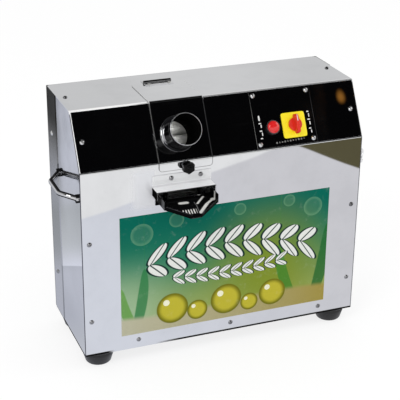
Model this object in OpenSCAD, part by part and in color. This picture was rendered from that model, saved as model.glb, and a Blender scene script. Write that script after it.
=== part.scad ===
// Tabletop electric sugarcane juicer in a folded stainless cabinet.
// Three fluted rollers stand behind a hinged feed flap. A flange motor turns them through spur gears.
// Units are millimetres, +Z is up and the front faces -Y.
// The origin is the middle of the outer box, on the floor.

/* [Cabinet] */
// Width over the side panels
cab_w = 560; // [545:1:620]
// Depth from the front wall to the rear wall
cab_d = 212; // [208:1:240]
// Height of the lower bend of the sloping face above the sheet's bottom edge
bend_z = 370; // [366:1:400]
// Height that the sloping face climbs
slope_rise = 100; // [94:1:115]
// Depth that the sloping face runs back
slope_run = 55; // [50:1:60]
// Thickness of the front sheet
wrap_t = 1.2; // [1:0.1:2]
// Thickness of the side panels
panel_t = 1; // [0.8:0.1:1.5]
// Outside radius of the folds
bend_r = 3; // [2.5:0.1:5]
// Width of the flanges on the side panels
flange_w = 25; // [22:1:32]
// Thickness of the base plate
base_t = 3; // [2:0.5:5]
// Height of the flanges round the base plate
base_flange_h = 30; // [26:1:45]

/* [Feet] */
// Height of a rubber foot
foot_h = 30; // [20:1:36]
// Radius of a foot against the base
foot_r = 31; // [26:0.5:32]
// Distance of a foot's centre from the side of the cabinet
foot_inset_x = 34; // [33:1:60]
// Distance of a foot's centre from the front and rear walls
foot_inset_y = 32; // [32:1:44]

/* [Feed flap] */
// Middle of the mill, the flap, the spout and the hood across the cabinet
mill_x = -80; // [-90:1:-70]
// Width of the flap
flap_w = 103; // [101:1:112]
// Thickness of the flap
flap_t = 1.2; // [1:0.1:2]
// Distance of the flap's rear edge from the front wall
flap_back_y = 152.6; // [148:0.2:160]
// Length of the lip that hangs over the front wall
lip_h = 15; // [14:0.5:20]
// Bore radius of the feed chute
chute_bore_r = 28; // [25:0.5:30]
// Wall of the feed chute
chute_wall = 1.5; // [1:0.1:2.5]
// Length of the feed chute outside the sloping face
chute_out = 54; // [40:1:70]
// Length of the feed chute inside the sloping face
chute_in = 28; // [15:1:32]
// Distance of the chute's axis up the slope
chute_s = 51; // [48:0.5:53]
// Distance of the chute's axis to the left of the flap's middle
chute_shift = 8; // [0:0.5:10]

/* [Clamp knob] */
// Outside radius of the knob over its lobes
knob_r = 12; // [11:0.5:13]
// Radius of the stud
stud_r = 3; // [2.5:0.5:3.5]
// Pitch of the stud's thread
stud_pitch = 1.25; // [1:0.25:1.5]
// Turns from loose to tight
stud_turns = 3; // [2:1:5]

/* [Controls] */
// Width of the control plate
control_w = 123; // [119:1:130]
// Middle of the control plate across the cabinet
control_x = 123.5; // [118:0.5:130]
// Side of the square switch plate
switch_side = 48; // [44:1:50]
// Middle of the switch across the cabinet
switch_x = 141.5; // [138:0.5:145]
// Distance of the switch and the lamp up the slope
control_s = 40; // [36:0.5:46]
// Middle of the pilot lamp across the cabinet
lamp_x = 98; // [95:0.5:101]
// Radius of the lamp's bezel
lamp_r = 13.5; // [12:0.5:15]

/* [Mill] */
// Distance of the top roller's axis from the front wall
mill_y = 112; // [108:1:114]
// Drop of the top roller's axis below the cabinet's top
top_drop = 58; // [58:1:64]
// Teeth of each roller gear
roller_teeth = 33; // [32:1:34]
// Module of the roller gears
roller_module = 2; // [1.9:0.1:2]
// Half the distance between the two lower rollers
spread = 38; // [38:0.5:42]
// Gap between two rollers that press the cane
nip_gap = 2; // [1.5:0.5:5]
// Length of a roller
roller_len = 86; // [80:1:90]
// Flutes round a roller
flutes = 40; // [24:1:48]
// Radius of the roller shafts
roller_shaft_r = 12.5; // [10:0.5:13]
// Thickness of the mill's end plates
plate_t = 12; // [10:1:14]

/* [Drive] */
// Module of the gears on the motor side
drive_module = 2; // [1.8:0.1:2]
// Module of the last gear pair
final_module = 2.5; // [2.3:0.1:2.5]
// Teeth of the pinion on the motor and on the first shaft
pinion_teeth = 16; // [15:1:17]
// Teeth of the first gear
first_teeth = 60; // [56:1:60]
// Teeth of the second gear
second_teeth = 70; // [66:1:70]
// Teeth of the pinion on the second shaft
last_pinion_teeth = 14; // [14:1:15]
// Teeth of the main gear
main_teeth = 40; // [38:1:40]
// Radius of the intermediate shafts
shaft_r = 10; // [8:0.5:11]
// Thickness of the plate that carries the motor
gear_plate_t = 10; // [8:1:12]
// Outside radius of the motor's shell
motor_r = 58; // [56:1:60]
// Length of the motor's shell
motor_len = 172; // [160:1:174]

/* [Front pieces] */
// Distance of the spout's middle to the left of the mill's middle
spout_shift = 8; // [4:0.5:10]
// Length of the spout's upright sides
spout_straight = 50; // [46:1:56]
// Reach of the spout in front of the wall
spout_reach = 76; // [70:1:90]
// Height of the spout's floor at the wall
spout_z = 305; // [302:1:305]
// Drop of the spout's lip plate
spout_drop = 12; // [8:1:16]
// Gap between the hood's skirts and the spout
hood_side_gap = 3.8; // [3:0.2:6]
// Reach of the hood
hood_reach = 27; // [22:1:40]
// Height of the hood's plate
hood_z = 327; // [326:1:330]
// Width of the front label
decal_w = 424; // [380:1:440]
// Height of the front label
decal_h = 245; // [220:1:245]

/* [Side handles] */
// Height of a side handle above the sheet's bottom edge
handle_z = 322; // [300:1:340]
// Distance between a handle's two feet
handle_pitch = 130; // [120:1:131]
// Reach of a handle
handle_reach = 32; // [30:1:45]
// Radius of the handle's bar
handle_r = 5; // [4:0.5:6.5]

/* [Rear pieces] */
// Length of the rear cover's wings along the side panels
wing_len = 62; // [50:1:70]
// Reach of the outlet chute behind the rear wall
rear_reach = 31; // [28:1:60]

/* [Hidden] */
$fn = 48;

// Fits and cutting
overrun = 1;
run_fit = 0.05;
seat_fit = 0.02;
hole_fit = 0.25;
hole_depth = 8;
sheet_gap = 0.3;
bend_steps = 6;

// Cabinet
cab_h = bend_z + slope_rise;
slope_len = norm([slope_run, slope_rise]);
slope_tilt = atan2(slope_rise, slope_run);
half_w = cab_w / 2;
front_y = (spout_reach - cab_d - rear_reach) / 2;
wrap_path = [[0, 0], [0, bend_z], [slope_run, cab_h], [cab_d, cab_h]];
panel_back = cab_d - bend_r;
panel_path = [[0, 0], [0, bend_z], [slope_run, cab_h], [panel_back, cab_h]];

// Feet
foot_taper = 3;
foot_round = 4;
foot_recess = 9;
foot_recess_gap = 2;

// Panel screws
screw_r = 2.5;
screw_head_r = 4.8;
screw_head_h = 3;
screw_dome_r = (screw_head_r * screw_head_r + screw_head_h * screw_head_h) / (2 * screw_head_h);
screw_len = 9;
recess_len = 5;
recess_w = 1.1;
recess_depth = 1.2;
screw_edge = 14.5;
column_z_shares = [0.195, 0.627];
row_x_shares = [-0.311, 0.026, 0.366];
row_z = 17;
top_screw_y = 132.5;
wing_z_shares = [0.2, 0.82];
rear_lift = 4;

// Fascia and controls
fascia_t = 0.8;
fascia_edge = 2.5;
fascia_gap = 1.5;
control_t = 2;
deck = fascia_t + control_t;
control_edge = 4;
control_h = slope_len - 2 * control_edge;
control_screw_inset = 7;
window_inset = 14;
switch_plate_t = 5;
switch_boss_r = 15;
switch_boss_h = 2;
switch_shaft_len = 20;
switch_body_side = 42;
switch_body_len = 46;
switch_neck_r = 9;
switch_shaft_r = 4;
grip_r = 13;
grip_h = 6;
grip_bar_w = 9;
grip_bar_len = 38;
grip_bar_h = 17;
lamp_bezel_h = 5;
lamp_neck_r = 11;
lamp_neck_len = 26;
lamp_lens_r = 10.5;
lamp_lens_h = 6;
lamp_seat = 2;

// Flap and hinge
flap_gap = 0.3;
flap_off = flap_gap + flap_t;
flap_lap = 6;
flap_path = [[0, bend_z - lip_h], [0, bend_z], [slope_run, cab_h], [flap_back_y, cab_h]];
opening_w = flap_w - 2 * flap_lap;
opening_s = 15;
opening_path = [
    [opening_s * slope_run / slope_len, bend_z + opening_s * slope_rise / slope_len],
    [slope_run, cab_h],
    [flap_back_y - flap_lap, cab_h]
];
chute_x = mill_x - chute_shift;
chute_r = chute_bore_r + chute_wall;
chute_rim = 1.2;
chute_rim_len = 3;
chute_ring = 4;
chute_ring_t = 2.5;
hinge_len = 54;
hinge_knuckle = hinge_len / 3;
hinge_barrel_r = 3.2;
hinge_pin_r = 1.5;
hinge_lift = hinge_barrel_r + sheet_gap;
hinge_gap = 1.2;
hinge_y = flap_back_y + hinge_barrel_r + hinge_gap;
hinge_yz = [hinge_y, cab_h + hinge_lift];
hinge_leaf = 18;
hinge_leaf_t = 1.2;
rivet_pitch = 40;
rivet_r = 1.6;
rivet_head_r = 3;
rivet_head_h = 1.2;
rivet_share = 0.72;
lip_round = 4;

// Clamp knob
stud_travel = stud_pitch * stud_turns;
knob_z = bend_z - lip_h / 2;
knob_h = 12;
knob_lobes = 6;
knob_hub_share = 0.55;
knob_flute_share = 0.38;
knob_flute_out_share = 1.22;
knob_hub_h = 2;
washer_t = 1.5;
washer_r = 7;
nut_r = 6.5;
nut_spare = 1;
nut_h = stud_travel + nut_spare;

// Mill
top_z = cab_h - top_drop;
roller_cd = roller_teeth * roller_module;
lower_drop = sqrt(roller_cd * roller_cd - spread * spread);
top_yz = [mill_y, top_z];
front_yz = [mill_y - spread, top_z - lower_drop];
rear_yz = [mill_y + spread, top_z - lower_drop];
roller_r = (roller_cd - nip_gap) / 2;
flute_depth = 1.6;
end_gap = 2;
bay_half = roller_len / 2 + end_gap;
plate_l = mill_x - bay_half - plate_t;
plate_r = mill_x + bay_half;
bush_wall = 4.5;
roller_bush_r = roller_shaft_r + bush_wall;
shaft_bush_r = shaft_r + bush_wall;
plate_front = 32;
plate_back_gap = 22;
plate_back = cab_d - plate_back_gap;
plate_top_gap = 16;
plate_top = cab_h - plate_top_gap;
plate_slope_gap = 16;

// Gears
gear_clear = 2;
gear_w = 16;
plane_a_w = 18;
plane_b_w = 16;
pressure = 20;
addendum_share = 0.9;
dedendum_share = 1.25;
flank_play = 0.5;
flank_shares = [0, 0.5, 1];
roller_gear_x = plate_l - gear_clear - gear_w;
plane_a = plate_r + plate_t + gear_clear;
plane_b = plane_a + plane_a_w + gear_clear;
gear_plate_gap = 3;
gear_plate_x = plane_b + plane_b_w + gear_plate_gap;
second_yz = [mill_y, top_z - final_module * (main_teeth + last_pinion_teeth) / 2];
first_yz = [mill_y, second_yz[1] - drive_module * (second_teeth + pinion_teeth) / 2];
motor_yz = [mill_y, first_yz[1] - drive_module * (first_teeth + pinion_teeth) / 2];
up = 90;
first_phase = mesh_phase(0, pinion_teeth, first_teeth, up);
second_phase = mesh_phase(0, pinion_teeth, second_teeth, up);
main_phase = mesh_phase(0, last_pinion_teeth, main_teeth, up);
front_phase = mesh_phase(0, roller_teeth, roller_teeth, heading(top_yz, front_yz));
rear_phase = mesh_phase(0, roller_teeth, roller_teeth, heading(top_yz, rear_yz));

// Front pieces
spout_lip_w = 22;
spout_wall_h = 15;
spout_lip_wall = 8;
spout_dip = 1.5;
spout_t = 1.2;
spout_flange_h = 14;
spout_start_share = 0.6;
spout_inset_shares = [0.5, 0.75];
hood_t = 1.2;
hood_flange_h = 22;
hood_skirt_h = 16;
hood_screw_pitch = 57;
hood_screw_up = 14;
tray_side_gap = 1;
tray_w = roller_len - 2 * tray_side_gap;
spout_gap = 0.8;
spout_x = mill_x - spout_shift;
spout_w = tray_w + 2 * (spout_shift + spout_gap + spout_t);
hood_w = spout_w + 2 * (hood_side_gap + hood_t);
tray_t = 1;
tray_wall = 11;
tray_front = 18;
tray_rear_gap = 2;
tray_rear = plate_back - tray_rear_gap;
tray_fall = 7;
tray_lift = 2.5;
slot_play = 2;
slot_w = tray_w + 2 * slot_play;
slot_h = 22;
decal_t = 0.3;
decal_x = 4;
decal_z = 30;
decal_gap = 3;
trash_w = 8;
trash_gap = 3;
trash_foot = 18;

// Frame pieces: each tie rod as [y, z, [first end, last end]]
rod_r = 6;
bolt_r = 4;
bolt_head_r = 7.5;
bolt_head_h = 5.3;
bolt_grip = 14;
rod_drill = 16;
rod_edge = 12;
low_rod_z = 100;
long_rod = [plate_l + plate_t, gear_plate_x];
left_rod = [plate_l + plate_t, plate_r];
rods = [
    [plate_front + rod_edge, low_rod_z, long_rod],
    [plate_back - rod_edge, low_rod_z, long_rod],
    [plate_front + rod_edge, tray_z(plate_front + rod_edge) - rod_r - sheet_gap, left_rod],
    [plate_back - rod_edge, tray_z(plate_back - rod_edge) - rod_r - sheet_gap, left_rod]
];
bracket_leg = 34;
bracket_t = 5;
bracket_bolt_shares = [0.2, 0.8];
bracket_bolt_out_share = 0.6;
gear_plate_rise = 36;

// Motor
motor_x = gear_plate_x + gear_plate_t;
motor_flange_t = 12;
motor_flange_r = 62;
spigot_r = 40;
spigot_h = 4;
motor_bolt_circle = 50;
motor_shaft_r = 11;
bearing_r = 20;
bearing_w = 12;
rotor_r = 38;
rotor_len = 100;
air_gap = 1;
shell_wall = 7;
shield_t = 14;
shell_x = motor_x + motor_flange_t;
shell_end = shell_x + motor_len;
core_x = shell_x + (motor_len - shield_t - rotor_len) / 2;
fin_count = 20;
fin_h = 7;
fin_w = 3;
fan_r = 48;
fan_hub_r = 16;
fan_blades = 7;
fan_blade_t = 3;
fan_w = 18;
fan_gap = 6;
fan_cover_t = 1;
fan_cover_len = 42;
cover_slots = 12;
terminal_size = [64, 54, 32];

// Handles
handle_run = 36;
handle_knuckle = 0.6;
handle_arm_share = 0.8;
handle_boss_r = 8;
handle_wing_gap = 3;
handle_front = cab_d - wing_len - handle_boss_r - handle_wing_gap - handle_pitch;
handle_boss_h = 6;

// Rear pieces
outlet_play = 2;
outlet_w = roller_len + 2 * outlet_play;
outlet_drop = 76;
outlet_sill = cab_h - outlet_drop;
outlet_h = 58;
outlet_lap = 12;
outlet_step = 2;
outlet_lip = 12;
outlet_side = 42;
outlet_start = 22;
outlet_dip = 6;
outlet_rise = 4;
outlet_fall = 24;
outlet_floor = [
    [rear_yz[0] + outlet_start, outlet_sill - outlet_dip],
    [cab_d + wrap_t, outlet_sill + outlet_rise],
    [cab_d + rear_reach, outlet_sill - outlet_fall]
];
vent_rows = 7;
vent_w = 70;
vent_h = 5;
vent_pitch = 14;
vent_x = 150;
vent_z_shares = [0.3, 0.62];
gland_x = 215;
gland_z = 62;
gland_r = 10;
gland_bore_r = 4.5;
gland_hex_r = 14;
gland_hex_h = 7;
gland_nose = 18;
gland_tail = 16;
capacitor_r = 22.5;
capacitor_h = 95;
capacitor_x = -210;
capacitor_tag_h = 10;
capacitor_tag_t = 1;

// Colours
steel = "silver";
polished = "gainsboro";
black = "#151518";
bronze = "#b5893c";
iron = "dimgray";
zinc = "#c9c9c4";
motor_blue = "#3f4a55";

// Heading of the line from one shaft to another, from +Y towards +Z
function heading(from, to) = atan2(to[1] - from[1], to[0] - from[0]);

// Angle at which a gear's tooth fits a gap of the gear that drives it
function mesh_phase(phase, teeth, next_teeth, way) =
    way + 180 - (phase - way) * teeth / next_teeth + 180 / next_teeth;

// Involute function in degrees
function involute(a) = tan(a) * 180 / PI - a;

// Half the angle of a tooth at a radius
function tooth_half(teeth, module_mm, r) =
    let (pitch_r = teeth * module_mm / 2, base_r = pitch_r * cos(pressure))
    90 / teeth - flank_play / pitch_r * 45 / PI + involute(pressure) - involute(acos(min(1, base_r / r)));

// Outline of a spur gear
function gear_outline(teeth, module_mm, phase) =
    let (
        pitch_r = teeth * module_mm / 2,
        tip_r = pitch_r + addendum_share * module_mm,
        root_r = pitch_r - dedendum_share * module_mm,
        radii = [for (share = flank_shares) root_r + share * (tip_r - root_r)],
        last = len(radii) - 1
    )
    [for (i = [0 : teeth - 1], side = [-1, 1], k = [0 : last])
        let (
            r = radii[side < 0 ? k : last - k],
            a = phase + 360 * i / teeth + side * tooth_half(teeth, module_mm, r)
        )
        r * [cos(a), sin(a)]];

// Outline of a fluted roller
function fluted_outline(r, depth, count) =
    [for (i = [0 : 2 * count - 1])
        let (a = 180 * i / count) (i % 2 == 0 ? r : r - depth) * [cos(a), sin(a)]];

// Right-hand unit normal of one leg of a path
function leg_normal(path, i) =
    let (leg = path[i + 1] - path[i]) [leg[1], -leg[0]] / norm(leg);

// Path moved to its right by a distance, with mitred corners
function moved_path(path, d) =
    let (last = len(path) - 1)
    [for (i = [0 : last])
        let (before = leg_normal(path, max(0, i - 1)), after = leg_normal(path, min(last - 1, i)))
        path[i] + d * (before + after) / (1 + before * after)];

// Outline of a band that reaches a distance to both sides of a path
function band_outline(path, d) =
    let (right_face = moved_path(path, d), last = len(path) - 1)
    concat(moved_path(path, -d), [for (k = [last : -1 : 0]) right_face[k]]);

// True where a path turns to its right
function turns_right(path, i) = cross(path[i] - path[i - 1], path[i + 1] - path[i]) < 0;

// Points of the arc that rounds one corner of a path
function corner_arc(path, i, r) =
    let (
        back = (path[i - 1] - path[i]) / norm(path[i - 1] - path[i]),
        ahead = (path[i + 1] - path[i]) / norm(path[i + 1] - path[i]),
        half = acos(back * ahead) / 2,
        centre = path[i] + (back + ahead) / norm(back + ahead) * r / sin(half),
        start = path[i] + back * r / tan(half) - centre,
        sweep = (turns_right(path, i) ? -1 : 1) * (180 - 2 * half),
        a = atan2(start[1], start[0])
    )
    [for (k = [0 : bend_steps])
        let (turn = a + sweep * k / bend_steps) centre + r * [cos(turn), sin(turn)]];

// Path with its corners rounded; the inner side of each fold has the smaller radius
function rounded_path(path, right_r, left_r) =
    let (last = len(path) - 1)
    [path[0],
     each [for (i = [1 : 1 : last - 1]) each corner_arc(path, i, turns_right(path, i) ? right_r : left_r)],
     path[last]];

// Outline of a folded sheet whose left face follows a path
function sheet_outline(path, t, r) =
    let (right_face = rounded_path(moved_path(path, t), r - t, r), last = len(right_face) - 1)
    concat(rounded_path(path, r, r - t), [for (k = [last : -1 : 0]) right_face[k]]);

// Place children in the cabinet: y from the front wall, z from the sheet's bottom edge
module cab() { translate([0, front_y, foot_h]) children(); }

// Extrude a side-view outline across the cabinet
module across(x, w) { translate([x, 0, 0]) rotate([90, 0, 90]) linear_extrude(w) children(); }

// Place children on the front wall: local y is up and local z points out
module on_front(x, z) { translate([x, 0, z]) rotate([90, 0, 0]) children(); }

// Place children on the sloping face: local y climbs the slope and local z points out
module on_slope(x, s) {
    translate([0, 0, bend_z]) rotate([slope_tilt, 0, 0]) translate([x, s, 0]) children();
}

// Place children on the top: local z is up
module on_top(x, y) { translate([x, y, cab_h]) children(); }

// Place children on a side panel: side is -1 at the left and 1 at the right, and local z points out
module on_side(side, y, z) { translate([side * half_w, y, z]) rotate([0, side * 90, 0]) children(); }

// Place children on an axis across the cabinet, with local z along +X
module on_axis(x, yz) { translate([x, yz[0], yz[1]]) rotate([90, 0, 90]) children(); }

// Round bar across the cabinet
module bar(x, end, yz, r) { on_axis(x, yz) cylinder(h = end - x, r = r); }

// Hole across the cabinet
module bore(x, end, yz, r) { bar(x - overrun, end + overrun, yz, r); }

// Spur gear across the cabinet
module gear(x, w, yz, teeth, module_mm, phase) {
    on_axis(x, yz) linear_extrude(w) polygon(gear_outline(teeth, module_mm, phase));
}

// Places of the screws that hold the front sheet to the side panels
module at_side_screws() {
    for (side = [-1, 1]) {
        for (share = column_z_shares) on_front(side * (half_w - screw_edge), share * bend_z) children();
        on_slope(side * (half_w - screw_edge), slope_len / 2) children();
        on_top(side * (half_w - screw_edge), top_screw_y) children();
    }
}

// Places of the screws along the base plate's front flange
module at_row_screws() { for (share = row_x_shares) on_front(share * cab_w, row_z) children(); }

// Places of the screws in the rear cover's wings
module at_wing_screws() {
    for (side = [-1, 1], share = wing_z_shares) on_side(side, cab_d - wing_len / 2, share * cab_h) children();
}

// Places of the screws of the control plate
module at_control_screws() {
    for (side = [-1, 1], end = [-1, 1])
        on_slope(
            control_x + side * (control_w / 2 - control_screw_inset),
            slope_len / 2 + end * (control_h / 2 - control_screw_inset)
        ) children();
}

// Places of the hood's screws
module at_hood_screws() {
    for (side = [-1, 1]) on_front(mill_x + side * hood_screw_pitch / 2, hood_z + hood_screw_up) children();
}

// Places of the handles' feet on one side panel
module at_handle_feet(side) {
    for (y = [handle_front, handle_front + handle_pitch]) on_side(side, y, handle_z) children();
}

// Pan-head screw with a cross recess; its head sits at a height above the local face
module pan_screw(seat, length) {
    difference() {
        intersection() {
            translate([0, 0, seat + screw_head_h - screw_dome_r]) sphere(screw_dome_r);
            translate([0, 0, seat]) cylinder(h = screw_head_h, r = screw_head_r);
        }
        for (a = [0, 90]) rotate(a)
            translate([-recess_len / 2, -recess_w / 2, seat + screw_head_h - recess_depth])
                cube([recess_len, recess_w, screw_head_h]);
    }
    translate([0, 0, seat - length]) cylinder(h = length, r = screw_r);
}

// Clearance hole for a panel screw through the local face
module screw_hole() { translate([0, 0, -hole_depth]) cylinder(h = 2 * hole_depth, r = screw_r + hole_fit); }

// Clearance hole for a hexagon bolt through the local face
module bolt_hole() { translate([0, 0, -hole_depth]) cylinder(h = 2 * hole_depth, r = bolt_r + hole_fit); }

// Hexagon bolt: the head is below the local face and the shank points up
module hex_bolt(length) {
    translate([0, 0, -bolt_head_h]) cylinder(h = bolt_head_h, r = bolt_head_r, $fn = 6);
    cylinder(h = length, r = bolt_r);
}

// Round bar between two points of the local YZ plane
module yz_rod(from, to, r) {
    translate([0, from[0], from[1]])
        rotate([-atan2(to[0] - from[0], to[1] - from[1]), 0, 0]) cylinder(h = norm(to - from), r = r);
}

// Window in the sloping face behind the control plate
module control_window() {
    on_slope(control_x - control_w / 2 + window_inset, control_edge + window_inset)
        translate([0, 0, -hole_depth])
            cube([control_w - 2 * window_inset, control_h - 2 * window_inset, 2 * hole_depth]);
}

// Front wall, sloping face and top as one folded sheet
module front_wrap() {
    color(polished) cab() difference() {
        across(-half_w, cab_w) polygon(sheet_outline(wrap_path, wrap_t, bend_r));
        across(mill_x - opening_w / 2, opening_w) polygon(band_outline(opening_path, hole_depth));
        control_window();
        for (x = [-half_w - overrun, half_w - bend_r])
            translate([x, panel_back, cab_h - hole_depth])
                cube([bend_r + overrun, bend_r + overrun, 2 * hole_depth]);
        translate([mill_x - slot_w / 2, -overrun, spout_z])
            cube([slot_w, wrap_t + 2 * overrun, slot_h]);
        on_front(mill_x, knob_z) cylinder(h = 2 * hole_depth, r = stud_r + hole_fit, center = true);
        at_side_screws() screw_hole();
        at_row_screws() screw_hole();
        at_hood_screws() screw_hole();
        at_control_screws() screw_hole();
    }
}

// Side panel with a flange along the front, the slope and the top
module side_panel(side) {
    edge = moved_path(panel_path, wrap_t);
    color(polished) cab() difference() {
        union() {
            across(side < 0 ? -half_w : half_w - panel_t, panel_t)
                polygon(concat(rounded_path(edge, bend_r - wrap_t, bend_r), [[panel_back, 0]]));
            across(side < 0 ? -half_w : half_w - flange_w, flange_w)
                polygon(sheet_outline(edge, panel_t, bend_r - wrap_t));
        }
        at_side_screws() screw_hole();
        at_wing_screws() screw_hole();
        at_handle_feet(side) screw_hole();
    }
}

module left_side_panel() { side_panel(-1); }

module right_side_panel() { side_panel(1); }

// Rear wall with two wings that lap over the side panels
module rear_cover() {
    out = half_w + wrap_t;
    wing_y = cab_d - wing_len;
    path = [[-out, wing_y], [-out, cab_d + wrap_t], [out, cab_d + wrap_t], [out, wing_y]];
    color(polished) cab() difference() {
        translate([0, 0, rear_lift]) linear_extrude(cab_h - rear_lift)
            polygon(sheet_outline(path, wrap_t, bend_r));
        translate([mill_x - outlet_w / 2, cab_d - overrun, outlet_sill])
            cube([outlet_w, wrap_t + 2 * overrun, outlet_h]);
        for (share = vent_z_shares, i = [0 : vent_rows - 1])
            translate([0, cab_d - overrun, share * cab_h + (i - vent_rows / 2) * vent_pitch])
                translate([vent_x - vent_w / 2, 0, 0]) cube([vent_w, wrap_t + 2 * overrun, vent_h]);
        translate([gland_x, cab_d - overrun, gland_z]) rotate([-90, 0, 0])
            cylinder(h = wrap_t + 2 * overrun, r = gland_r + hole_fit);
        at_wing_screws() translate([0, 0, wrap_t]) screw_hole();
    }
}

// Base plate with flanges behind the front wall, the side panels and the rear wall
module base_plate() {
    inner = half_w - panel_t;
    front_half = half_w - flange_w - overrun;
    rear_half = inner - bend_r;
    color(steel) cab() difference() {
        union() {
            linear_extrude(base_t) polygon([
                [-inner, wrap_t + panel_t], [inner, wrap_t + panel_t],
                [inner, panel_back], [rear_half, panel_back], [rear_half, cab_d],
                [-rear_half, cab_d], [-rear_half, panel_back], [-inner, panel_back]
            ]);
            translate([-front_half, wrap_t, 0]) cube([2 * front_half, base_t, base_flange_h]);
            translate([overrun - rear_half, cab_d - base_t, 0])
                cube([2 * (rear_half - overrun), base_t, base_flange_h]);
            for (x = [-inner, inner - base_t])
                translate([x, flange_w, 0]) cube([base_t, panel_back - overrun - flange_w, base_flange_h]);
        }
        at_row_screws() screw_hole();
        at_feet() bolt_hole();
        at_brackets() at_bracket_bolts() bolt_hole();
        translate([capacitor_x, mill_y, 0]) bolt_hole();
    }
}

// Places of the feet under the base plate
module at_feet() {
    for (x = [-half_w + foot_inset_x, half_w - foot_inset_x], y = [foot_inset_y, cab_d - foot_inset_y])
        translate([x, y, 0]) children();
}

// Rubber feet with a rounded sole and a recess for the bolt's head
module rubber_feet() {
    sole = [for (k = [0 : bend_steps])
        [foot_r - foot_taper - foot_round + foot_round * sin(90 * k / bend_steps),
         foot_round - foot_round * cos(90 * k / bend_steps)]];
    color(black) cab() at_feet() translate([0, 0, -foot_h]) difference() {
        rotate_extrude() polygon(concat([[0, 0]], sole, [[foot_r, foot_h], [0, foot_h]]));
        translate([0, 0, -overrun]) cylinder(h = foot_recess + overrun, r = bolt_head_r + foot_recess_gap);
        cylinder(h = foot_h + overrun, r = bolt_r + hole_fit);
    }
}

// Black facing on the slope, left and right of the flap
module slope_fascia() {
    left = [-half_w + fascia_edge, mill_x - flap_w / 2 - fascia_gap];
    right = [mill_x + flap_w / 2 + fascia_gap, half_w - fascia_edge];
    color(black) cab() difference() {
        for (span = [left, right])
            on_slope(span[0], fascia_edge) cube([span[1] - span[0], slope_len - 2 * fascia_edge, fascia_t]);
        control_window();
        at_side_screws() cylinder(h = hole_depth, r = screw_head_r + hole_fit, center = true);
        at_control_screws() screw_hole();
    }
}

// Plate that carries the switch and the pilot lamp
module control_plate() {
    color(black) cab() difference() {
        on_slope(control_x - control_w / 2, control_edge)
            translate([0, 0, fascia_t]) cube([control_w, control_h, control_t]);
        on_slope(switch_x, control_s) cylinder(h = hole_depth, r = switch_neck_r + seat_fit);
        on_slope(lamp_x, control_s) cylinder(h = hole_depth, r = lamp_neck_r + seat_fit);
        at_control_screws() screw_hole();
    }
}

// All panel screws
module panel_screws() {
    color(zinc) cab() {
        at_side_screws() pan_screw(0, screw_len);
        at_row_screws() pan_screw(0, screw_len);
        at_wing_screws() pan_screw(wrap_t, screw_len);
        at_hood_screws() pan_screw(hood_t, screw_len);
        at_control_screws() pan_screw(deck, screw_len);
        for (side = [-1, 1]) at_handle_feet(side) translate([0, 0, -panel_t]) mirror([0, 0, 1])
            pan_screw(0, panel_t + handle_boss_h / 2);
    }
}

// Yellow plate round the switch
module switch_plate() {
    color("gold") cab() on_slope(switch_x, control_s) translate([0, 0, deck]) difference() {
        union() {
            translate([-switch_side / 2, -switch_side / 2, 0])
                cube([switch_side, switch_side, switch_plate_t - switch_boss_h]);
            cylinder(h = switch_plate_t, r = switch_boss_r);
        }
        translate([0, 0, -overrun]) cylinder(h = switch_plate_t + 2 * overrun, r = switch_neck_r + seat_fit);
    }
}

// Cam switch behind the control plate
module switch_body() {
    neck_len = control_t + switch_plate_t;
    color(iron) cab() on_slope(switch_x, control_s) translate([0, 0, fascia_t]) difference() {
        union() {
            translate([-switch_body_side / 2, -switch_body_side / 2, -switch_body_len])
                cube([switch_body_side, switch_body_side, switch_body_len]);
            cylinder(h = neck_len, r = switch_neck_r);
        }
        translate([0, 0, neck_len - switch_shaft_len - overrun])
            cylinder(h = switch_shaft_len + 2 * overrun, r = switch_shaft_r + run_fit);
    }
}

// Red handle of the switch, with its spindle
module switch_handle() {
    color("red") cab() on_slope(switch_x, control_s) translate([0, 0, deck + switch_plate_t + sheet_gap]) {
        cylinder(h = grip_h, r = grip_r);
        translate([-grip_bar_w / 2, -grip_bar_len / 2, grip_h - overrun])
            cube([grip_bar_w, grip_bar_len, grip_bar_h - grip_h + overrun]);
        translate([0, 0, -switch_shaft_len]) cylinder(h = switch_shaft_len + overrun, r = switch_shaft_r);
    }
}

// Red lens of the pilot lamp
module pilot_lens() {
    dome_r = (lamp_lens_r * lamp_lens_r + lamp_lens_h * lamp_lens_h) / (2 * lamp_lens_h);
    color("red") cab() on_slope(lamp_x, control_s) translate([0, 0, deck + lamp_bezel_h - lamp_seat]) {
        cylinder(h = lamp_seat, r = lamp_lens_r);
        intersection() {
            translate([0, 0, lamp_seat + lamp_lens_h - dome_r]) sphere(dome_r);
            cylinder(h = lamp_seat + lamp_lens_h, r = lamp_lens_r);
        }
    }
}

// Bezel and neck of the pilot lamp
module pilot_body() {
    color(steel) cab() on_slope(lamp_x, control_s) translate([0, 0, deck]) difference() {
        union() {
            cylinder(h = lamp_bezel_h, r = lamp_r);
            translate([0, 0, -lamp_neck_len]) cylinder(h = lamp_neck_len, r = lamp_neck_r);
        }
        translate([0, 0, lamp_bezel_h - lamp_seat])
            cylinder(h = lamp_seat + overrun, r = lamp_lens_r + seat_fit);
    }
}

// Bow handle on one side panel: two sloping arms, a round knuckle at each bend and a straight grip
module side_handle(side) {
    out = handle_reach - handle_r - handle_knuckle;
    foot = handle_boss_h * handle_arm_share;
    color(steel) cab() on_side(side, handle_front, handle_z) difference() {
        union() {
            for (flip = [0, 1]) translate([0, flip * handle_pitch, 0]) mirror([0, flip, 0]) {
                cylinder(h = handle_boss_h, r = handle_boss_r);
                yz_rod([0, foot], [handle_run, out], handle_r);
                translate([0, handle_run, out]) sphere(handle_r + handle_knuckle);
            }
            yz_rod([handle_run, out], [handle_pitch - handle_run, out], handle_r);
        }
        for (y = [0, handle_pitch])
            translate([0, y, -overrun]) cylinder(h = foot + overrun, r = screw_r + seat_fit);
    }
}

module left_handle() { side_handle(-1); }

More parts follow.
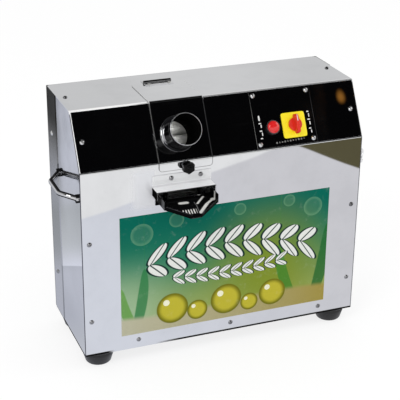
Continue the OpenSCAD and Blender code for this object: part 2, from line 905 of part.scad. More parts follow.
module right_handle() { side_handle(1); }

// Printed label on the front wall, notched round the spout where it is tall enough to reach it
module front_decal() {
    notch_w = spout_w + 2 * decal_gap;
    color("seagreen") cab() difference() {
        on_front(decal_x - decal_w / 2, decal_z) cube([decal_w, decal_h, decal_t]);
        translate([spout_x - notch_w / 2, -hole_depth, spout_z - spout_flange_h - decal_gap])
            cube([notch_w, 2 * hole_depth, cab_h]);
    }
}

// Hood over the spout, with a flange on the wall and two skirts
module hood() {
    path = [[-hood_reach, hood_z], [-hood_t, hood_z], [-hood_t, hood_z + hood_flange_h]];
    color(polished) cab() difference() {
        union() {
            across(spout_x - hood_w / 2, hood_w) polygon(sheet_outline(path, hood_t, bend_r));
            for (x = [spout_x - hood_w / 2, spout_x + hood_w / 2 - hood_t])
                translate([x, -hood_reach, hood_z - hood_skirt_h]) cube([hood_t, hood_reach, hood_skirt_h]);
        }
        at_hood_screws() screw_hole();
    }
}

// Juice spout: a trough with upright sides, then a lip plate that bends down and narrows
module spout() {
    half = spout_w / 2;
    lip_half = spout_lip_w / 2;
    front = -spout_straight - overrun;
    front_dip = spout_dip * (spout_straight + overrun) / spout_straight;
    lip_run = spout_reach - spout_straight;
    lip_len = norm([lip_run, spout_drop]);
    start = -overrun * spout_start_share;
    inset = spout_t * spout_inset_shares;
    module band(low, high, x, w) {
        across(x, w) polygon([
            [0, spout_z + low], [front, spout_z - front_dip + low],
            [front, spout_z - front_dip + high], [0, spout_z + high]
        ]);
    }
    color(polished) cab() translate([spout_x, 0, 0]) {
        band(-spout_t, 0, -half, spout_w);
        for (x = [-half, half - spout_t]) band(-spout_t / 2, spout_wall_h, x, spout_t);
        translate([0, -spout_straight, spout_z - spout_dip]) rotate([atan2(spout_drop, lip_run), 0, 0]) {
            translate([0, 0, -spout_t]) linear_extrude(spout_t) polygon([
                [inset[0] - half, start], [-lip_half, -lip_len],
                [lip_half, -lip_len], [half - inset[0], start]
            ]);
            for (flip = [0, 1]) mirror([flip, 0, 0]) translate([0, 0, -spout_t / 2])
                linear_extrude(spout_lip_wall + spout_t / 2) polygon([
                    [half - inset[1], start], [lip_half - inset[0], -lip_len],
                    [lip_half - inset[0] - 2 * spout_t, -lip_len], [half - inset[1] - 2 * spout_t, start]
                ]);
        }
        translate([overrun - half, -spout_t, spout_z - spout_flange_h])
            cube([spout_w - 2 * overrun, spout_t, spout_flange_h - spout_t / 2]);
    }
}

// Height of the juice tray's underside at a depth
function tray_z(y) = spout_z + tray_lift + tray_fall * (y + tray_front) / (tray_rear + tray_front);

// Tray under the rollers that runs out over the spout
module juice_tray() {
    module slab(low, high, x, w) {
        across(x, w) polygon([
            [-tray_front, tray_z(-tray_front) + low], [tray_rear, tray_z(tray_rear) + low],
            [tray_rear, tray_z(tray_rear) + high], [-tray_front, tray_z(-tray_front) + high]
        ]);
    }
    left = mill_x - tray_w / 2;
    color(polished) cab() {
        slab(0, tray_t, left, tray_w);
        for (x = [left, left + tray_w - tray_t]) slab(0, tray_wall, x, tray_t);
        translate([left, tray_rear - tray_t, tray_z(tray_rear)]) cube([tray_w, tray_t, tray_wall]);
    }
}

// Outline of a mill plate seen from the side
function plate_outline() = [
    [plate_front, base_t],
    [plate_front, bend_z + (plate_front - plate_slope_gap) * slope_rise / slope_run],
    [plate_slope_gap + (plate_top - bend_z) * slope_run / slope_rise, plate_top],
    [plate_back, plate_top],
    [plate_back, base_t]
];

// End plate of the mill with bores for the roller bushes
module mill_plate(x) {
    difference() {
        across(x, plate_t) polygon(plate_outline());
        for (yz = [top_yz, front_yz, rear_yz]) bore(x, x + plate_t, yz, roller_bush_r + seat_fit);
        for (rod = rods) bore(x, x + plate_t, rod_yz(rod), rod_hole_r(rod, x));
    }
}

// Tie rods pass through a plate that they don't end at, and are bolted to one where they end
function rod_yz(rod) = [rod[0], rod[1]];
function rod_hole_r(rod, x) = rod[2][0] < x && x < rod[2][1] - overrun ? rod_r + hole_fit : bolt_r + hole_fit;

module left_mill_plate() { color(iron) cab() mill_plate(plate_l); }

module right_mill_plate() {
    color(iron) cab() difference() {
        mill_plate(plate_r);
        for (yz = [first_yz, second_yz]) bore(plate_r, plate_r + plate_t, yz, shaft_bush_r + seat_fit);
    }
}

// Places of the motor's bolts round its axis, with local z along +X
module at_motor_bolts(x) {
    for (a = [45 : 90 : 315]) on_axis(x, motor_yz) rotate(a) translate([motor_bolt_circle, 0, 0]) children();
}

// Plate that carries the gear shafts and the motor
module gear_plate() {
    end = gear_plate_x + gear_plate_t;
    top = second_yz[1] + gear_plate_rise;
    color(iron) cab() difference() {
        across(gear_plate_x, gear_plate_t) polygon([
            [plate_front, base_t], [plate_front, top], [plate_back, top], [plate_back, base_t]
        ]);
        for (yz = [first_yz, second_yz]) bore(gear_plate_x, end, yz, shaft_bush_r + seat_fit);
        bore(gear_plate_x, end, motor_yz, spigot_r + seat_fit);
        at_motor_bolts(gear_plate_x - overrun)
            cylinder(h = gear_plate_t + 2 * overrun, r = bolt_r + hole_fit);
        for (rod = rods) if (rod[2] == long_rod) bore(gear_plate_x, end, rod_yz(rod), bolt_r + hole_fit);
    }
}

// Spacer rods between the plates, drilled at both ends
module tie_rods() {
    color(zinc) cab() for (rod = rods) difference() {
        bar(rod[2][0], rod[2][1], rod_yz(rod), rod_r);
        bar(rod[2][0] - overrun, rod[2][0] + rod_drill, rod_yz(rod), bolt_r + seat_fit);
        bar(rod[2][1] - rod_drill, rod[2][1] + overrun, rod_yz(rod), bolt_r + seat_fit);
    }
}

// Places of the angle brackets: local origin at the plate's foot, local +X away from the plate
module at_brackets() {
    translate([plate_l, 0, base_t]) mirror([1, 0, 0]) children();
    translate([plate_r + plate_t, 0, base_t]) children();
    translate([gear_plate_x + gear_plate_t, 0, base_t]) children();
}

// Places of a bracket's two bolts
module at_bracket_bolts() {
    for (share = bracket_bolt_shares)
        translate([bracket_leg * bracket_bolt_out_share, plate_front + share * (plate_back - plate_front), 0])
            children();
}

// Angle brackets that stand the plates on the base
module mill_brackets() {
    depth = plate_back - plate_front;
    color(iron) cab() at_brackets() difference() {
        union() {
            translate([0, plate_front, 0]) cube([bracket_leg, depth, bracket_t]);
            translate([0, plate_front, 0]) cube([bracket_t, depth, bracket_leg]);
        }
        at_bracket_bolts() bolt_hole();
    }
}

// Hexagon bolts of the feet, the tie rods, the brackets and the motor
module frame_bolts() {
    color(zinc) cab() {
        at_feet() translate([0, 0, foot_recess - foot_h]) hex_bolt(foot_h - foot_recess + base_t);
        for (rod = rods) {
            far = rod[2] == long_rod ? gear_plate_t : plate_t;
            on_axis(rod[2][0] - plate_t, rod_yz(rod)) hex_bolt(plate_t + bolt_grip);
            on_axis(rod[2][1] + far, rod_yz(rod)) mirror([0, 0, 1]) hex_bolt(far + bolt_grip);
        }
        at_brackets() at_bracket_bolts()
            translate([0, 0, bracket_t]) mirror([0, 0, 1]) hex_bolt(bracket_t + base_t);
        at_motor_bolts(gear_plate_x) hex_bolt(gear_plate_t + motor_flange_t - overrun);
    }
}

// Plain bush across the cabinet
module bush(x, w, yz, outer, inner) {
    difference() {
        bar(x, x + w, yz, outer);
        bore(x, x + w, yz, inner);
    }
}

// Bronze bushes of the rollers
module roller_bushes() {
    color(bronze) cab() for (x = [plate_l, plate_r], yz = [top_yz, front_yz, rear_yz])
        bush(x, plate_t, yz, roller_bush_r, roller_shaft_r + run_fit);
}

// Bronze bushes of the gear shafts
module shaft_bushes() {
    color(bronze) cab() for (yz = [first_yz, second_yz]) {
        bush(plate_r, plate_t, yz, shaft_bush_r, shaft_r + run_fit);
        bush(gear_plate_x, gear_plate_t, yz, shaft_bush_r, shaft_r + run_fit);
    }
}

// Guide bar that lifts the cane from the first nip to the second
module trash_plate() {
    color(steel) cab() translate([mill_x - bay_half, mill_y - trash_w / 2, front_yz[1] - trash_foot])
        cube([2 * bay_half, trash_w, top_z - roller_r - trash_gap - front_yz[1] + trash_foot]);
}

// Chute that leads the pressed cane out of the rear wall
module rear_outlet() {
    wall_y = cab_d + wrap_t;
    end_y = cab_d + rear_reach;
    end_z = outlet_floor[2][1];
    left = mill_x - roller_len / 2;
    color(polished) cab() {
        across(left, roller_len) polygon(sheet_outline(outlet_floor, tray_t, bend_r));
        for (x = [left, left + roller_len - tray_t]) across(x, tray_t) polygon([
            [wall_y, outlet_sill + outlet_step], [end_y, end_z - tray_t], [end_y, end_z + outlet_lip],
            [wall_y, outlet_sill + outlet_side]
        ]);
        for (x = [left - outlet_lap, left + roller_len - tray_t])
            translate([x, wall_y, outlet_sill]) cube([outlet_lap + tray_t, tray_t, outlet_side]);
    }
}

// Cable gland low on the rear wall, with its lock nut inside
module cable_gland() {
    wall_out = cab_d + wrap_t;
    color(black) cab() translate([gland_x, wall_out, gland_z]) rotate([-90, 0, 0]) {
        difference() {
            union() {
                translate([0, 0, -gland_tail]) cylinder(h = gland_tail, r = gland_r);
                cylinder(h = gland_hex_h, r = gland_hex_r, $fn = 6);
                cylinder(h = gland_nose, r = gland_r);
            }
            translate([0, 0, -gland_tail - overrun])
                cylinder(h = gland_tail + gland_nose + 2 * overrun, r = gland_bore_r);
        }
        translate([0, 0, -wrap_t - gland_hex_h]) difference() {
            cylinder(h = gland_hex_h, r = gland_hex_r, $fn = 6);
            translate([0, 0, -overrun]) cylinder(h = gland_hex_h + 2 * overrun, r = gland_r + seat_fit);
        }
    }
}

// Motor capacitor on a stud in the base plate
module capacitor() {
    color("white") cab() translate([capacitor_x, mill_y, base_t]) {
        cylinder(h = capacitor_h, r = capacitor_r);
        translate([0, 0, -base_t]) cylinder(h = base_t, r = bolt_r);
        for (side = [-1, 1])
            translate([(side * capacitor_r - capacitor_tag_t) / 2, -bolt_r, capacitor_h])
                cube([capacitor_tag_t, 2 * bolt_r, capacitor_tag_h]);
    }
}

// Finned shell of the motor with its rear shield and its stator
module motor_body() {
    cavity_r = motor_r - shell_wall;
    color(motor_blue) cab() difference() {
        union() {
            bar(shell_x, shell_end, motor_yz, motor_r);
            for (i = [0 : fin_count - 1])
                on_axis(shell_x, motor_yz) rotate(up + 360 * i / fin_count)
                    translate([0, -fin_w / 2, 0]) cube([motor_r + fin_h, fin_w, motor_len]);
        }
        bar(shell_x - overrun, core_x, motor_yz, cavity_r);
        bore(core_x, core_x + rotor_len, motor_yz, rotor_r + air_gap);
        bar(core_x + rotor_len, shell_end - shield_t, motor_yz, cavity_r);
        bar(shell_end - shield_t - overrun, shell_end - shield_t + bearing_w, motor_yz, bearing_r + seat_fit);
        bore(shell_end - shield_t, shell_end, motor_yz, motor_shaft_r + air_gap);
    }
}

// Drive-end flange of the motor
module motor_flange() {
    color(motor_blue) cab() difference() {
        union() {
            bar(motor_x, shell_x, motor_yz, motor_flange_r);
            bar(motor_x - spigot_h, motor_x + overrun, motor_yz, spigot_r);
        }
        bore(motor_x - spigot_h, shell_x, motor_yz, motor_shaft_r + air_gap);
        bar(shell_x - bearing_w, shell_x + overrun, motor_yz, bearing_r + seat_fit);
        at_motor_bolts(motor_x - overrun) cylinder(h = motor_flange_t + 2 * overrun, r = bolt_r + seat_fit);
    }
}

// Two bearings of the motor's shaft
module motor_bearings() {
    color(steel) cab() for (x = [shell_x - bearing_w, shell_end - shield_t])
        bush(x, bearing_w, motor_yz, bearing_r, motor_shaft_r + run_fit);
}

// Cover over the motor's fan, with slots for the air
module fan_cover() {
    outer = motor_r + fin_h - fan_cover_t;
    end = shell_end + fan_cover_len;
    color(iron) cab() difference() {
        bar(shell_end, end, motor_yz, outer);
        bar(shell_end - overrun, end - fan_cover_t, motor_yz, outer - fan_cover_t);
        for (i = [0 : cover_slots - 1])
            on_axis(end - fan_cover_t - overrun, motor_yz) rotate(360 * i / cover_slots)
                translate([fan_hub_r, -fin_w / 2, 0])
                    cube([fan_r - fan_hub_r, fin_w, fan_cover_t + 2 * overrun]);
    }
}

// Terminal box on the motor
module terminal_box() {
    color(motor_blue) cab()
        translate([core_x, mill_y - terminal_size[1] / 2, motor_yz[1] + motor_r + fin_h]) cube(terminal_size);
}

// Nut behind the front wall for the clamp knob's stud
module weld_nut() {
    color(zinc) cab() on_front(mill_x, knob_z) translate([0, 0, -wrap_t - nut_h]) difference() {
        cylinder(h = nut_h, r = nut_r, $fn = 6);
        translate([0, 0, -overrun]) cylinder(h = nut_h + 2 * overrun, r = stud_r + run_fit);
    }
}

// Knuckles of a hinge leaf: thirds of the hinge's length, bored for the pin
module knuckles(thirds) {
    for (i = thirds) {
        x = mill_x - hinge_len / 2 + i * hinge_knuckle;
        bush(x + sheet_gap / 2, hinge_knuckle - sheet_gap, hinge_yz, hinge_barrel_r, hinge_pin_r + run_fit);
    }
}

// Leaf on the cabinet's top, with the two outer knuckles
module hinge_fixed_leaf() {
    left = mill_x - hinge_len / 2;
    color(iron) cab() {
        knuckles([0, 2]);
        difference() {
            translate([left, hinge_y, cab_h]) cube([hinge_len, hinge_leaf, hinge_leaf_t]);
            translate([left + hinge_knuckle, hinge_y - overrun, cab_h - overrun])
                cube([hinge_knuckle, hinge_barrel_r + overrun + sheet_gap, hinge_leaf_t + 2 * overrun]);
            bore(left, left + hinge_len, hinge_yz, hinge_pin_r + run_fit);
        }
    }
}

module hinge_pin() {
    half = hinge_len / 2 + overrun;
    color(steel) cab() bar(mill_x - half, mill_x + half, hinge_yz, hinge_pin_r);
}

// Places of the rivets on the flap
module at_flap_rivets() {
    for (side = [-1, 1])
        on_top(mill_x + side * rivet_pitch / 2, hinge_y - hinge_leaf * rivet_share) children();
}

// Leaf on the flap, with the middle knuckle
module hinge_flap_leaf() {
    left = mill_x - hinge_len / 2;
    lift = cab_h + flap_off;
    clear = hinge_barrel_r + sheet_gap;
    color(iron) cab() {
        knuckles([1]);
        difference() {
            translate([left, hinge_y - hinge_leaf, lift]) cube([hinge_len, hinge_leaf, hinge_leaf_t]);
            for (i = [0, 2])
                translate([left + i * hinge_knuckle - sheet_gap, hinge_y - clear, lift - overrun])
                    cube([hinge_knuckle + 2 * sheet_gap, clear + overrun, hinge_leaf_t + 2 * overrun]);
            bore(left, left + hinge_len, hinge_yz, hinge_pin_r + run_fit);
            at_flap_rivets() cylinder(h = 2 * hole_depth, r = rivet_r + seat_fit, center = true);
        }
    }
}

// Rivets of the flap's hinge leaf
module flap_rivets() {
    color(steel) cab() at_flap_rivets() {
        translate([0, 0, flap_gap]) cylinder(h = flap_t + hinge_leaf_t + overrun / 2, r = rivet_r);
        translate([0, 0, flap_off + hinge_leaf_t]) cylinder(h = rivet_head_h, r = rivet_head_r);
    }
}

// Flap over the top, the slope and the head of the front wall
module flap() {
    color(polished) cab() difference() {
        across(mill_x - flap_w / 2, flap_w)
            polygon(sheet_outline(moved_path(flap_path, -flap_off), flap_t, bend_r + flap_off));
        on_slope(chute_x, chute_s) cylinder(h = 2 * hole_depth, r = chute_r + seat_fit, center = true);
        on_front(mill_x, knob_z) cylinder(h = 2 * hole_depth, r = stud_r + hole_fit, center = true);
        at_flap_rivets() cylinder(h = 2 * hole_depth, r = rivet_r + seat_fit, center = true);
        for (flip = [0, 1]) on_front(mill_x, bend_z - lip_h) mirror([flip, 0, 0])
            translate([flap_w / 2 - lip_round, 0, -overrun]) difference() {
                translate([0, -overrun, 0]) cube([lip_round + overrun, lip_round + overrun, hole_depth]);
                translate([0, lip_round, -overrun]) cylinder(h = hole_depth + 2 * overrun, r = lip_round);
            }
    }
}

// Black facing on the flap's slope
module flap_fascia() {
    width = flap_w - 2 * fascia_gap;
    color(black) cab() difference() {
        on_slope(mill_x - width / 2, fascia_edge)
            translate([0, 0, flap_off]) cube([width, slope_len - 2 * fascia_edge, fascia_t]);
        on_slope(chute_x, chute_s) cylinder(h = 2 * hole_depth, r = chute_r + seat_fit, center = true);
    }
}

// Feed chute square to the flap's slope, with a beaded rim and a ring at its foot
module feed_chute() {
    color(polished) cab() on_slope(chute_x, chute_s) difference() {
        union() {
            translate([0, 0, -chute_in]) cylinder(h = chute_in + chute_out, r = chute_r);
            translate([0, 0, chute_out - chute_rim_len]) cylinder(h = chute_rim_len, r = chute_r + chute_rim);
            translate([0, 0, flap_off + fascia_t]) cylinder(h = chute_ring_t, r = chute_r + chute_ring);
        }
        translate([0, 0, -chute_in - overrun])
            cylinder(h = chute_in + chute_out + 2 * overrun, r = chute_bore_r);
    }
}

// Washer that travels in and out with the clamp knob
module knob_washer() {
    color(steel) cab() on_front(mill_x, knob_z) translate([0, 0, flap_off + stud_travel]) difference() {
        cylinder(h = washer_t, r = washer_r);
        translate([0, 0, -overrun]) cylinder(h = washer_t + 2 * overrun, r = stud_r + run_fit);
    }
}

// Clamp knob with flutes round its rim and a stud, unscrewed at rest
module clamp_knob() {
    seat = flap_off + stud_travel + washer_t + run_fit;
    tip = flap_gap + flap_t / 4;
    color(black) cab() on_front(mill_x, knob_z) {
        translate([0, 0, seat]) difference() {
            union() {
                cylinder(h = knob_h, r = knob_r);
                cylinder(h = knob_h + knob_hub_h, r = knob_r * knob_hub_share);
            }
            for (i = [0 : knob_lobes - 1]) rotate(360 * i / knob_lobes)
                translate([knob_r * knob_flute_out_share, 0, -overrun])
                    cylinder(h = knob_h + 2 * overrun, r = knob_r * knob_flute_share);
        }
        translate([0, 0, tip]) cylinder(h = seat - tip + overrun, r = stud_r);
    }
}

// Rotor on its shaft, with the motor pinion cut on the end
module motor_rotor() {
    color(steel) cab() {
        bar(plane_a + plane_a_w - overrun, shell_end + fan_gap + fan_w, motor_yz, motor_shaft_r);
        gear(plane_a, plane_a_w, motor_yz, pinion_teeth, drive_module, 0);
        bar(core_x, core_x + rotor_len, motor_yz, rotor_r);
    }
}

// Cooling fan at the rear of the motor
module cooling_fan() {
    x = shell_end + fan_gap;
    root = (motor_shaft_r + fan_hub_r) / 2;
    color(black) cab() difference() {
        union() {
            bar(x, x + fan_w, motor_yz, fan_hub_r);
            for (i = [0 : fan_blades - 1]) on_axis(x + overrun, motor_yz) rotate(360 * i / fan_blades)
                translate([root, -fan_blade_t / 2, 0]) cube([fan_r - root, fan_blade_t, fan_w - 2 * overrun]);
        }
        bore(x, x + fan_w, motor_yz, motor_shaft_r + seat_fit);
    }
}

// Intermediate shaft between the right mill plate and the gear plate
module pinion_shaft(yz, x, w, teeth, module_mm) {
    color(steel) cab() {
        bar(plate_r, gear_plate_x + gear_plate_t, yz, shaft_r);
        gear(x, w, yz, teeth, module_mm, 0);
    }
}

// Gear with a bore for its shaft
module bored_gear(x, w, yz, teeth, module_mm, phase, r) {
    color(iron) cab() difference() {
        gear(x, w, yz, teeth, module_mm, phase);
        bore(x, x + w, yz, r + seat_fit);
    }
}

module first_shaft() { pinion_shaft(first_yz, plane_b, plane_b_w, pinion_teeth, drive_module); }

module first_gear() {
    bored_gear(plane_a, plane_a_w, first_yz, first_teeth, drive_module, first_phase, shaft_r);
}

module second_shaft() { pinion_shaft(second_yz, plane_a, plane_a_w, last_pinion_teeth, final_module); }

module second_gear() {
    bored_gear(plane_b, plane_b_w, second_yz, second_teeth, drive_module, second_phase, shaft_r);
}

// Fluted roller on its shaft
module roller(yz, end) {
    color(steel) cab() {
        bar(roller_gear_x - overrun, end, yz, roller_shaft_r);
        on_axis(mill_x - roller_len / 2, yz) linear_extrude(roller_len)
            polygon(fluted_outline(roller_r, flute_depth, flutes));
    }
}

// Gear on the left end of a roller
module roller_gear(yz, phase) {
    bored_gear(roller_gear_x, gear_w, yz, roller_teeth, roller_module, phase, roller_shaft_r);
}

module top_roller() { roller(top_yz, plane_a + plane_a_w); }

module main_gear() {
    bored_gear(plane_a, plane_a_w, top_yz, main_teeth, final_module, main_phase, roller_shaft_r);
}

module top_roller_gear() { roller_gear(top_yz, 0); }

module front_roller() { roller(front_yz, plate_r + plate_t); }

module front_roller_gear() { roller_gear(front_yz, front_phase); }

module rear_roller() { roller(rear_yz, plate_r + plate_t); }

module rear_roller_gear() { roller_gear(rear_yz, rear_phase); }

front_wrap();
left_side_panel();
right_side_panel();
rear_cover();
base_plate();
rubber_feet();
slope_fascia();
control_plate();
panel_screws();
switch_plate();
switch_body();
pilot_lens();
pilot_body();
left_handle();
right_handle();
front_decal();
hood();
spout();
juice_tray();
left_mill_plate();
right_mill_plate();
gear_plate();
tie_rods();
mill_brackets();
frame_bolts();
roller_bushes();
shaft_bushes();
trash_plate();
rear_outlet();
cable_gland();
capacitor();
motor_body();
motor_flange();
motor_bearings();
fan_cover();
terminal_box();
weld_nut();
hinge_fixed_leaf();
hinge_pin();
flap();
flap_fascia();
feed_chute();
hinge_flap_leaf();
flap_rivets();
knob_washer();
clamp_knob();
switch_handle();
motor_rotor();
cooling_fan();
first_shaft();
first_gear();
second_shaft();
second_gear();
top_roller();
main_gear();
top_roller_gear();
front_roller();
front_roller_gear();
rear_roller();
rear_roller_gear();
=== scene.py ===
# %% [markdown]
# # An electric sugarcane juicer
#
# The machine is a folded box of polished sheet steel. A hinged flap with a round feed chute covers a roller
# mill, a switch and a lamp sit on a black sloping face, and the juice leaves by a spout under a small hood.
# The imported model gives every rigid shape. This lesson dresses those shapes and adds the round, moulded and
# rolled forms that a plain solid lacks. All lengths are in metres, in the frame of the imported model.

import math

import bmesh
import bpy
import numpy as np
from mathutils import Matrix, Vector


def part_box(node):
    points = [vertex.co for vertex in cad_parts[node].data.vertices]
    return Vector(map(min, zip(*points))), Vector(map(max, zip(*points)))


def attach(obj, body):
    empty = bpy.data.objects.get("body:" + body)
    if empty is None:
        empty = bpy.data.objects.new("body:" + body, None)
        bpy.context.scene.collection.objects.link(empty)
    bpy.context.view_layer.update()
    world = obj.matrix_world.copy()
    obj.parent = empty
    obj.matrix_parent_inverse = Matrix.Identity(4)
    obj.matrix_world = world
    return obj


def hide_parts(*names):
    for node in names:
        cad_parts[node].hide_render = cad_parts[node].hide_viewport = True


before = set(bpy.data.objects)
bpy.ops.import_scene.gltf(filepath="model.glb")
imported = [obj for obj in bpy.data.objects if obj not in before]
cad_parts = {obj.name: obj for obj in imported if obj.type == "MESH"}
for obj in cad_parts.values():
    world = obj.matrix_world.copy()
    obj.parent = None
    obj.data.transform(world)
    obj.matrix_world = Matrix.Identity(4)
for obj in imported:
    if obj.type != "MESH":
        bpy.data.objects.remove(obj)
scene = bpy.context.scene
scene.view_settings.view_transform = "Standard"
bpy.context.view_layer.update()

# %% [markdown]
# ## The camera
#
# The viewer stands to the left of the machine and looks down on it. The corners of the cabinet fix where that
# is: 21 degrees round to the left, 24 degrees up and about 2.3 metres away. A long lens keeps the upright
# edges nearly parallel. We build the camera's three axes by hand, so that half a degree of roll can be added.

# %% Camera
AZIMUTH, ELEVATION, ROLL = (math.radians(angle) for angle in (-21.403, 23.776, 0.565))
TARGET = Vector((-0.004907, 0.0365, 0.261809))
DISTANCE = 2.305065
LENS_MM = 105.5


def camera_axes(azimuth, elevation, roll):
    """Right, up and back of a camera: back points from the target to the eye, right lies level, and both
    right and up are then turned about back by the roll."""
    back = Vector((math.sin(azimuth) * math.cos(elevation), -math.cos(azimuth) * math.cos(elevation),
                   math.sin(elevation)))
    right = Vector((0, 0, 1)).cross(back).normalized()
    up = back.cross(right)
    return (right * math.cos(roll) + up * math.sin(roll), up * math.cos(roll) - right * math.sin(roll), back)


axes = camera_axes(AZIMUTH, ELEVATION, ROLL)
camera = bpy.data.objects.new("camera", bpy.data.cameras.new("camera"))
camera.data.lens = LENS_MM
camera.data.sensor_width = 36
camera.matrix_world = Matrix.Translation(TARGET + axes[2] * DISTANCE) @ Matrix(axes).transposed().to_4x4()
scene.collection.objects.link(camera)
scene.camera = camera
print("camera at", [round(value, 3) for value in camera.location])

# %% [markdown]
# ## A small language for finishes
#
# A finish is a material whose colour, gloss and relief change over the surface. Wiring its nodes one by one
# is slow to read, so a socket is wrapped in a class that knows the usual operators. A sum such as
# `0.07 + 0.05 * smudge` then adds its own Math nodes. One method adds any other node.

# %% Finishes
class Val:
    """A shader socket that can be used in sums: each operator adds one Math node."""

    def __init__(self, finish, socket):
        self.finish = finish
        self.socket = socket

    def math(self, operation, *numbers):
        return self.finish.node("ShaderNodeMath", {"operation": operation}, dict(enumerate(numbers)))

    def __add__(self, other): return self.math("ADD", self, other)
    def __radd__(self, other): return self.math("ADD", other, self)
    def __sub__(self, other): return self.math("SUBTRACT", self, other)
    def __rsub__(self, other): return self.math("SUBTRACT", other, self)
    def __mul__(self, other): return self.math("MULTIPLY", self, other)
    def __rmul__(self, other): return self.math("MULTIPLY", other, self)
    def __truediv__(self, other): return self.math("DIVIDE", self, other)
    def __pow__(self, other): return self.math("POWER", self, other)
    def __abs__(self): return self.math("ABSOLUTE", self)

    def sine(self): return self.math("SINE", self)
    def least(self, other): return self.math("MINIMUM", self, other)
    def most(self, other): return self.math("MAXIMUM", self, other)
    def root(self): return self.math("SQRT", self)
    def fract(self): return self.math("FRACT", self)

    def rise(self, low, high):
        """0 below low, 1 above high and a smooth step between them; with low above high it falls."""
        if low > high:
            return 1 - self.rise(high, low)
        settings = {"interpolation_type": "SMOOTHSTEP"}
        steps = {"Value": self, "From Min": low, "From Max": high}
        return self.finish.node("ShaderNodeMapRange", settings, steps)


class Finish:
    """A material: its Principled shader, its Object coordinates and the nodes that feed them."""

    def __init__(self, name, **constants):
        self.material = bpy.data.materials.new(name)
        self.material.use_nodes = True
        self.tree = self.material.node_tree
        self.shader = self.tree.nodes["Principled BSDF"]
        self.set(**constants)
        self.place = self.node("ShaderNodeTexCoord", out="Object")

    def set(self, **values):
        for name, value in values.items():
            self.link(value, self.shader.inputs[name.replace("_", " ")])

    def link(self, value, socket):
        if isinstance(value, Val):
            self.tree.links.new(value.socket, socket)
        else:
            socket.default_value = value

    def node(self, kind, settings=None, inputs=None, out=0):
        """Adds a node of any kind, fills its sockets with values or links and returns one output."""
        made = self.tree.nodes.new(kind)
        for key, value in (settings or {}).items():
            setattr(made, key, value)
        for key, value in (inputs or {}).items():
            self.link(value, made.inputs[key])
        return Val(self, made.outputs[out])

    def xyz(self):
        """The three Object coordinates as separate values."""
        split = self.node("ShaderNodeSeparateXYZ", None, {0: self.place}).socket.node
        return [Val(self, socket) for socket in split.outputs]

    def noise(self, scale, detail=3, rough=0.5, stretch=(1, 1, 1)):
        """Cloudy noise with about `scale` patches to a metre, squeezed along the axes by `stretch`."""
        place = self.node("ShaderNodeMapping", None, {"Vector": self.place, "Scale": stretch})
        return self.node("ShaderNodeTexNoise", None,
                         {"Vector": place, "Scale": scale, "Detail": detail, "Roughness": rough})

    def cells(self, scale, feature="F1", out="Distance"):
        """Cell noise: the distance to the nearest of about `scale` points to a metre."""
        sockets = {"Vector": self.place, "Scale": scale}
        return self.node("ShaderNodeTexVoronoi", {"feature": feature}, sockets, out)

    def mix(self, share, low, high):
        """A colour that goes from low to high as share goes from 0 to 1."""
        return self.node("ShaderNodeMix", {"data_type": "RGBA"}, {0: share, 6: low, 7: high}, 2)

    def bump(self, height, strength, depth):
        """A surface normal tilted by a height map whose full range is `depth` metres."""
        return self.node("ShaderNodeBump", None, {"Height": height, "Strength": strength, "Distance": depth})


def tone(red, green, blue):
    """A colour given as eight-bit screen values, turned to the linear values that shaders use."""
    share = np.array([red, green, blue]) / 255
    linear = np.where(share <= 0.04045, share / 12.92, ((share + 0.055) / 1.055) ** 2.4)
    return (*linear.tolist(), 1.0)


print("finish language ready")

# %% [markdown]
# ## Polished and plain metal
#
# The casing is a mirror-polished stainless sheet. Real sheet is never quite flat, so its reflections bend
# gently: a broad, shallow bump does that. Wiping marks make the gloss cloudy, and a fine grain along the
# sheet breaks up highlights. The same recipe with other numbers gives bar, zinc, turned and cast metal.

# %% Metals
WAVE_DEPTH = 0.003


def metal(name, dark, light, rough, cloud=0.05, grain=(1, 1, 1), grain_rough=0.03, wave=0.25, wave_scale=5,
          shine=1.0):
    """Metal with cloudy wiping marks, a directional grain and a broad waviness."""
    finish = Finish(name, Metallic=shine)
    smudge = finish.noise(13, 5, 0.62).rise(0.38, 0.72)
    lines = finish.noise(420, 2, 0.5, grain)
    finish.colour = finish.mix(smudge, light, dark)
    finish.shine = shine
    finish.set(Base_Color=finish.colour, Roughness=rough + cloud * smudge + grain_rough * lines,
               Normal=finish.bump(finish.noise(wave_scale, 1, 0.3), wave, WAVE_DEPTH))
    return finish


def shade(finish, mask, colour, dull=0.0):
    """Paints light or shade into a finish where a mask is 1: a painted reflection, highlight or shade for a
    face whose surroundings aren't built. A dull face also stops being a mirror there."""
    finish.colour = finish.mix(mask, finish.colour, colour)
    finish.set(Base_Color=finish.colour)
    if dull:
        finish.shine = finish.shine * (1 - dull * mask)
        finish.set(Metallic=finish.shine, Specular_IOR_Level=0.0)


polished = metal("polished_sheet", tone(217, 218, 220), tone(223, 224, 226), 0.012, 0.01, (0.02, 1, 1), 0.012)
chute_steel = metal("chute_sheet", tone(196, 196, 198), tone(214, 214, 216), 0.05, 0.03, (1, 1, 0.1))
# The spout's sheet is painted near black and is barely a mirror: a painted dark reflection of the dim space
# under the hood.
spout_steel = metal("spout_sheet", tone(10, 10, 11), tone(12, 12, 13), 0.06, 0.05, (1, 0.06, 1), wave=0.5,
                    wave_scale=16, shine=0.1)
side_steel = metal("polished_side", tone(204, 205, 208), tone(214, 215, 218), 0.07, 0.03, (1, 1, 0.03))
rear_steel = metal("rear_sheet", tone(156, 157, 160), tone(168, 169, 172), 0.15, 0.02, (1, 1, 0.03))
hood_steel = metal("hood_sheet", tone(248, 248, 249), tone(253, 253, 254), 0.17, 0.03, (0.02, 1, 1))
hinge_leaf = metal("hinge_leaf", tone(206, 206, 208), tone(218, 218, 220), 0.12, wave=0.1, wave_scale=60)
bright_bar = metal("polished_bar", tone(188, 188, 190), tone(214, 214, 216), 0.07, wave=0.1, wave_scale=30)
cut_edge = metal("cut_edge", tone(118, 118, 116), tone(140, 140, 138), 0.5, 0.1, wave=0.05, wave_scale=60)
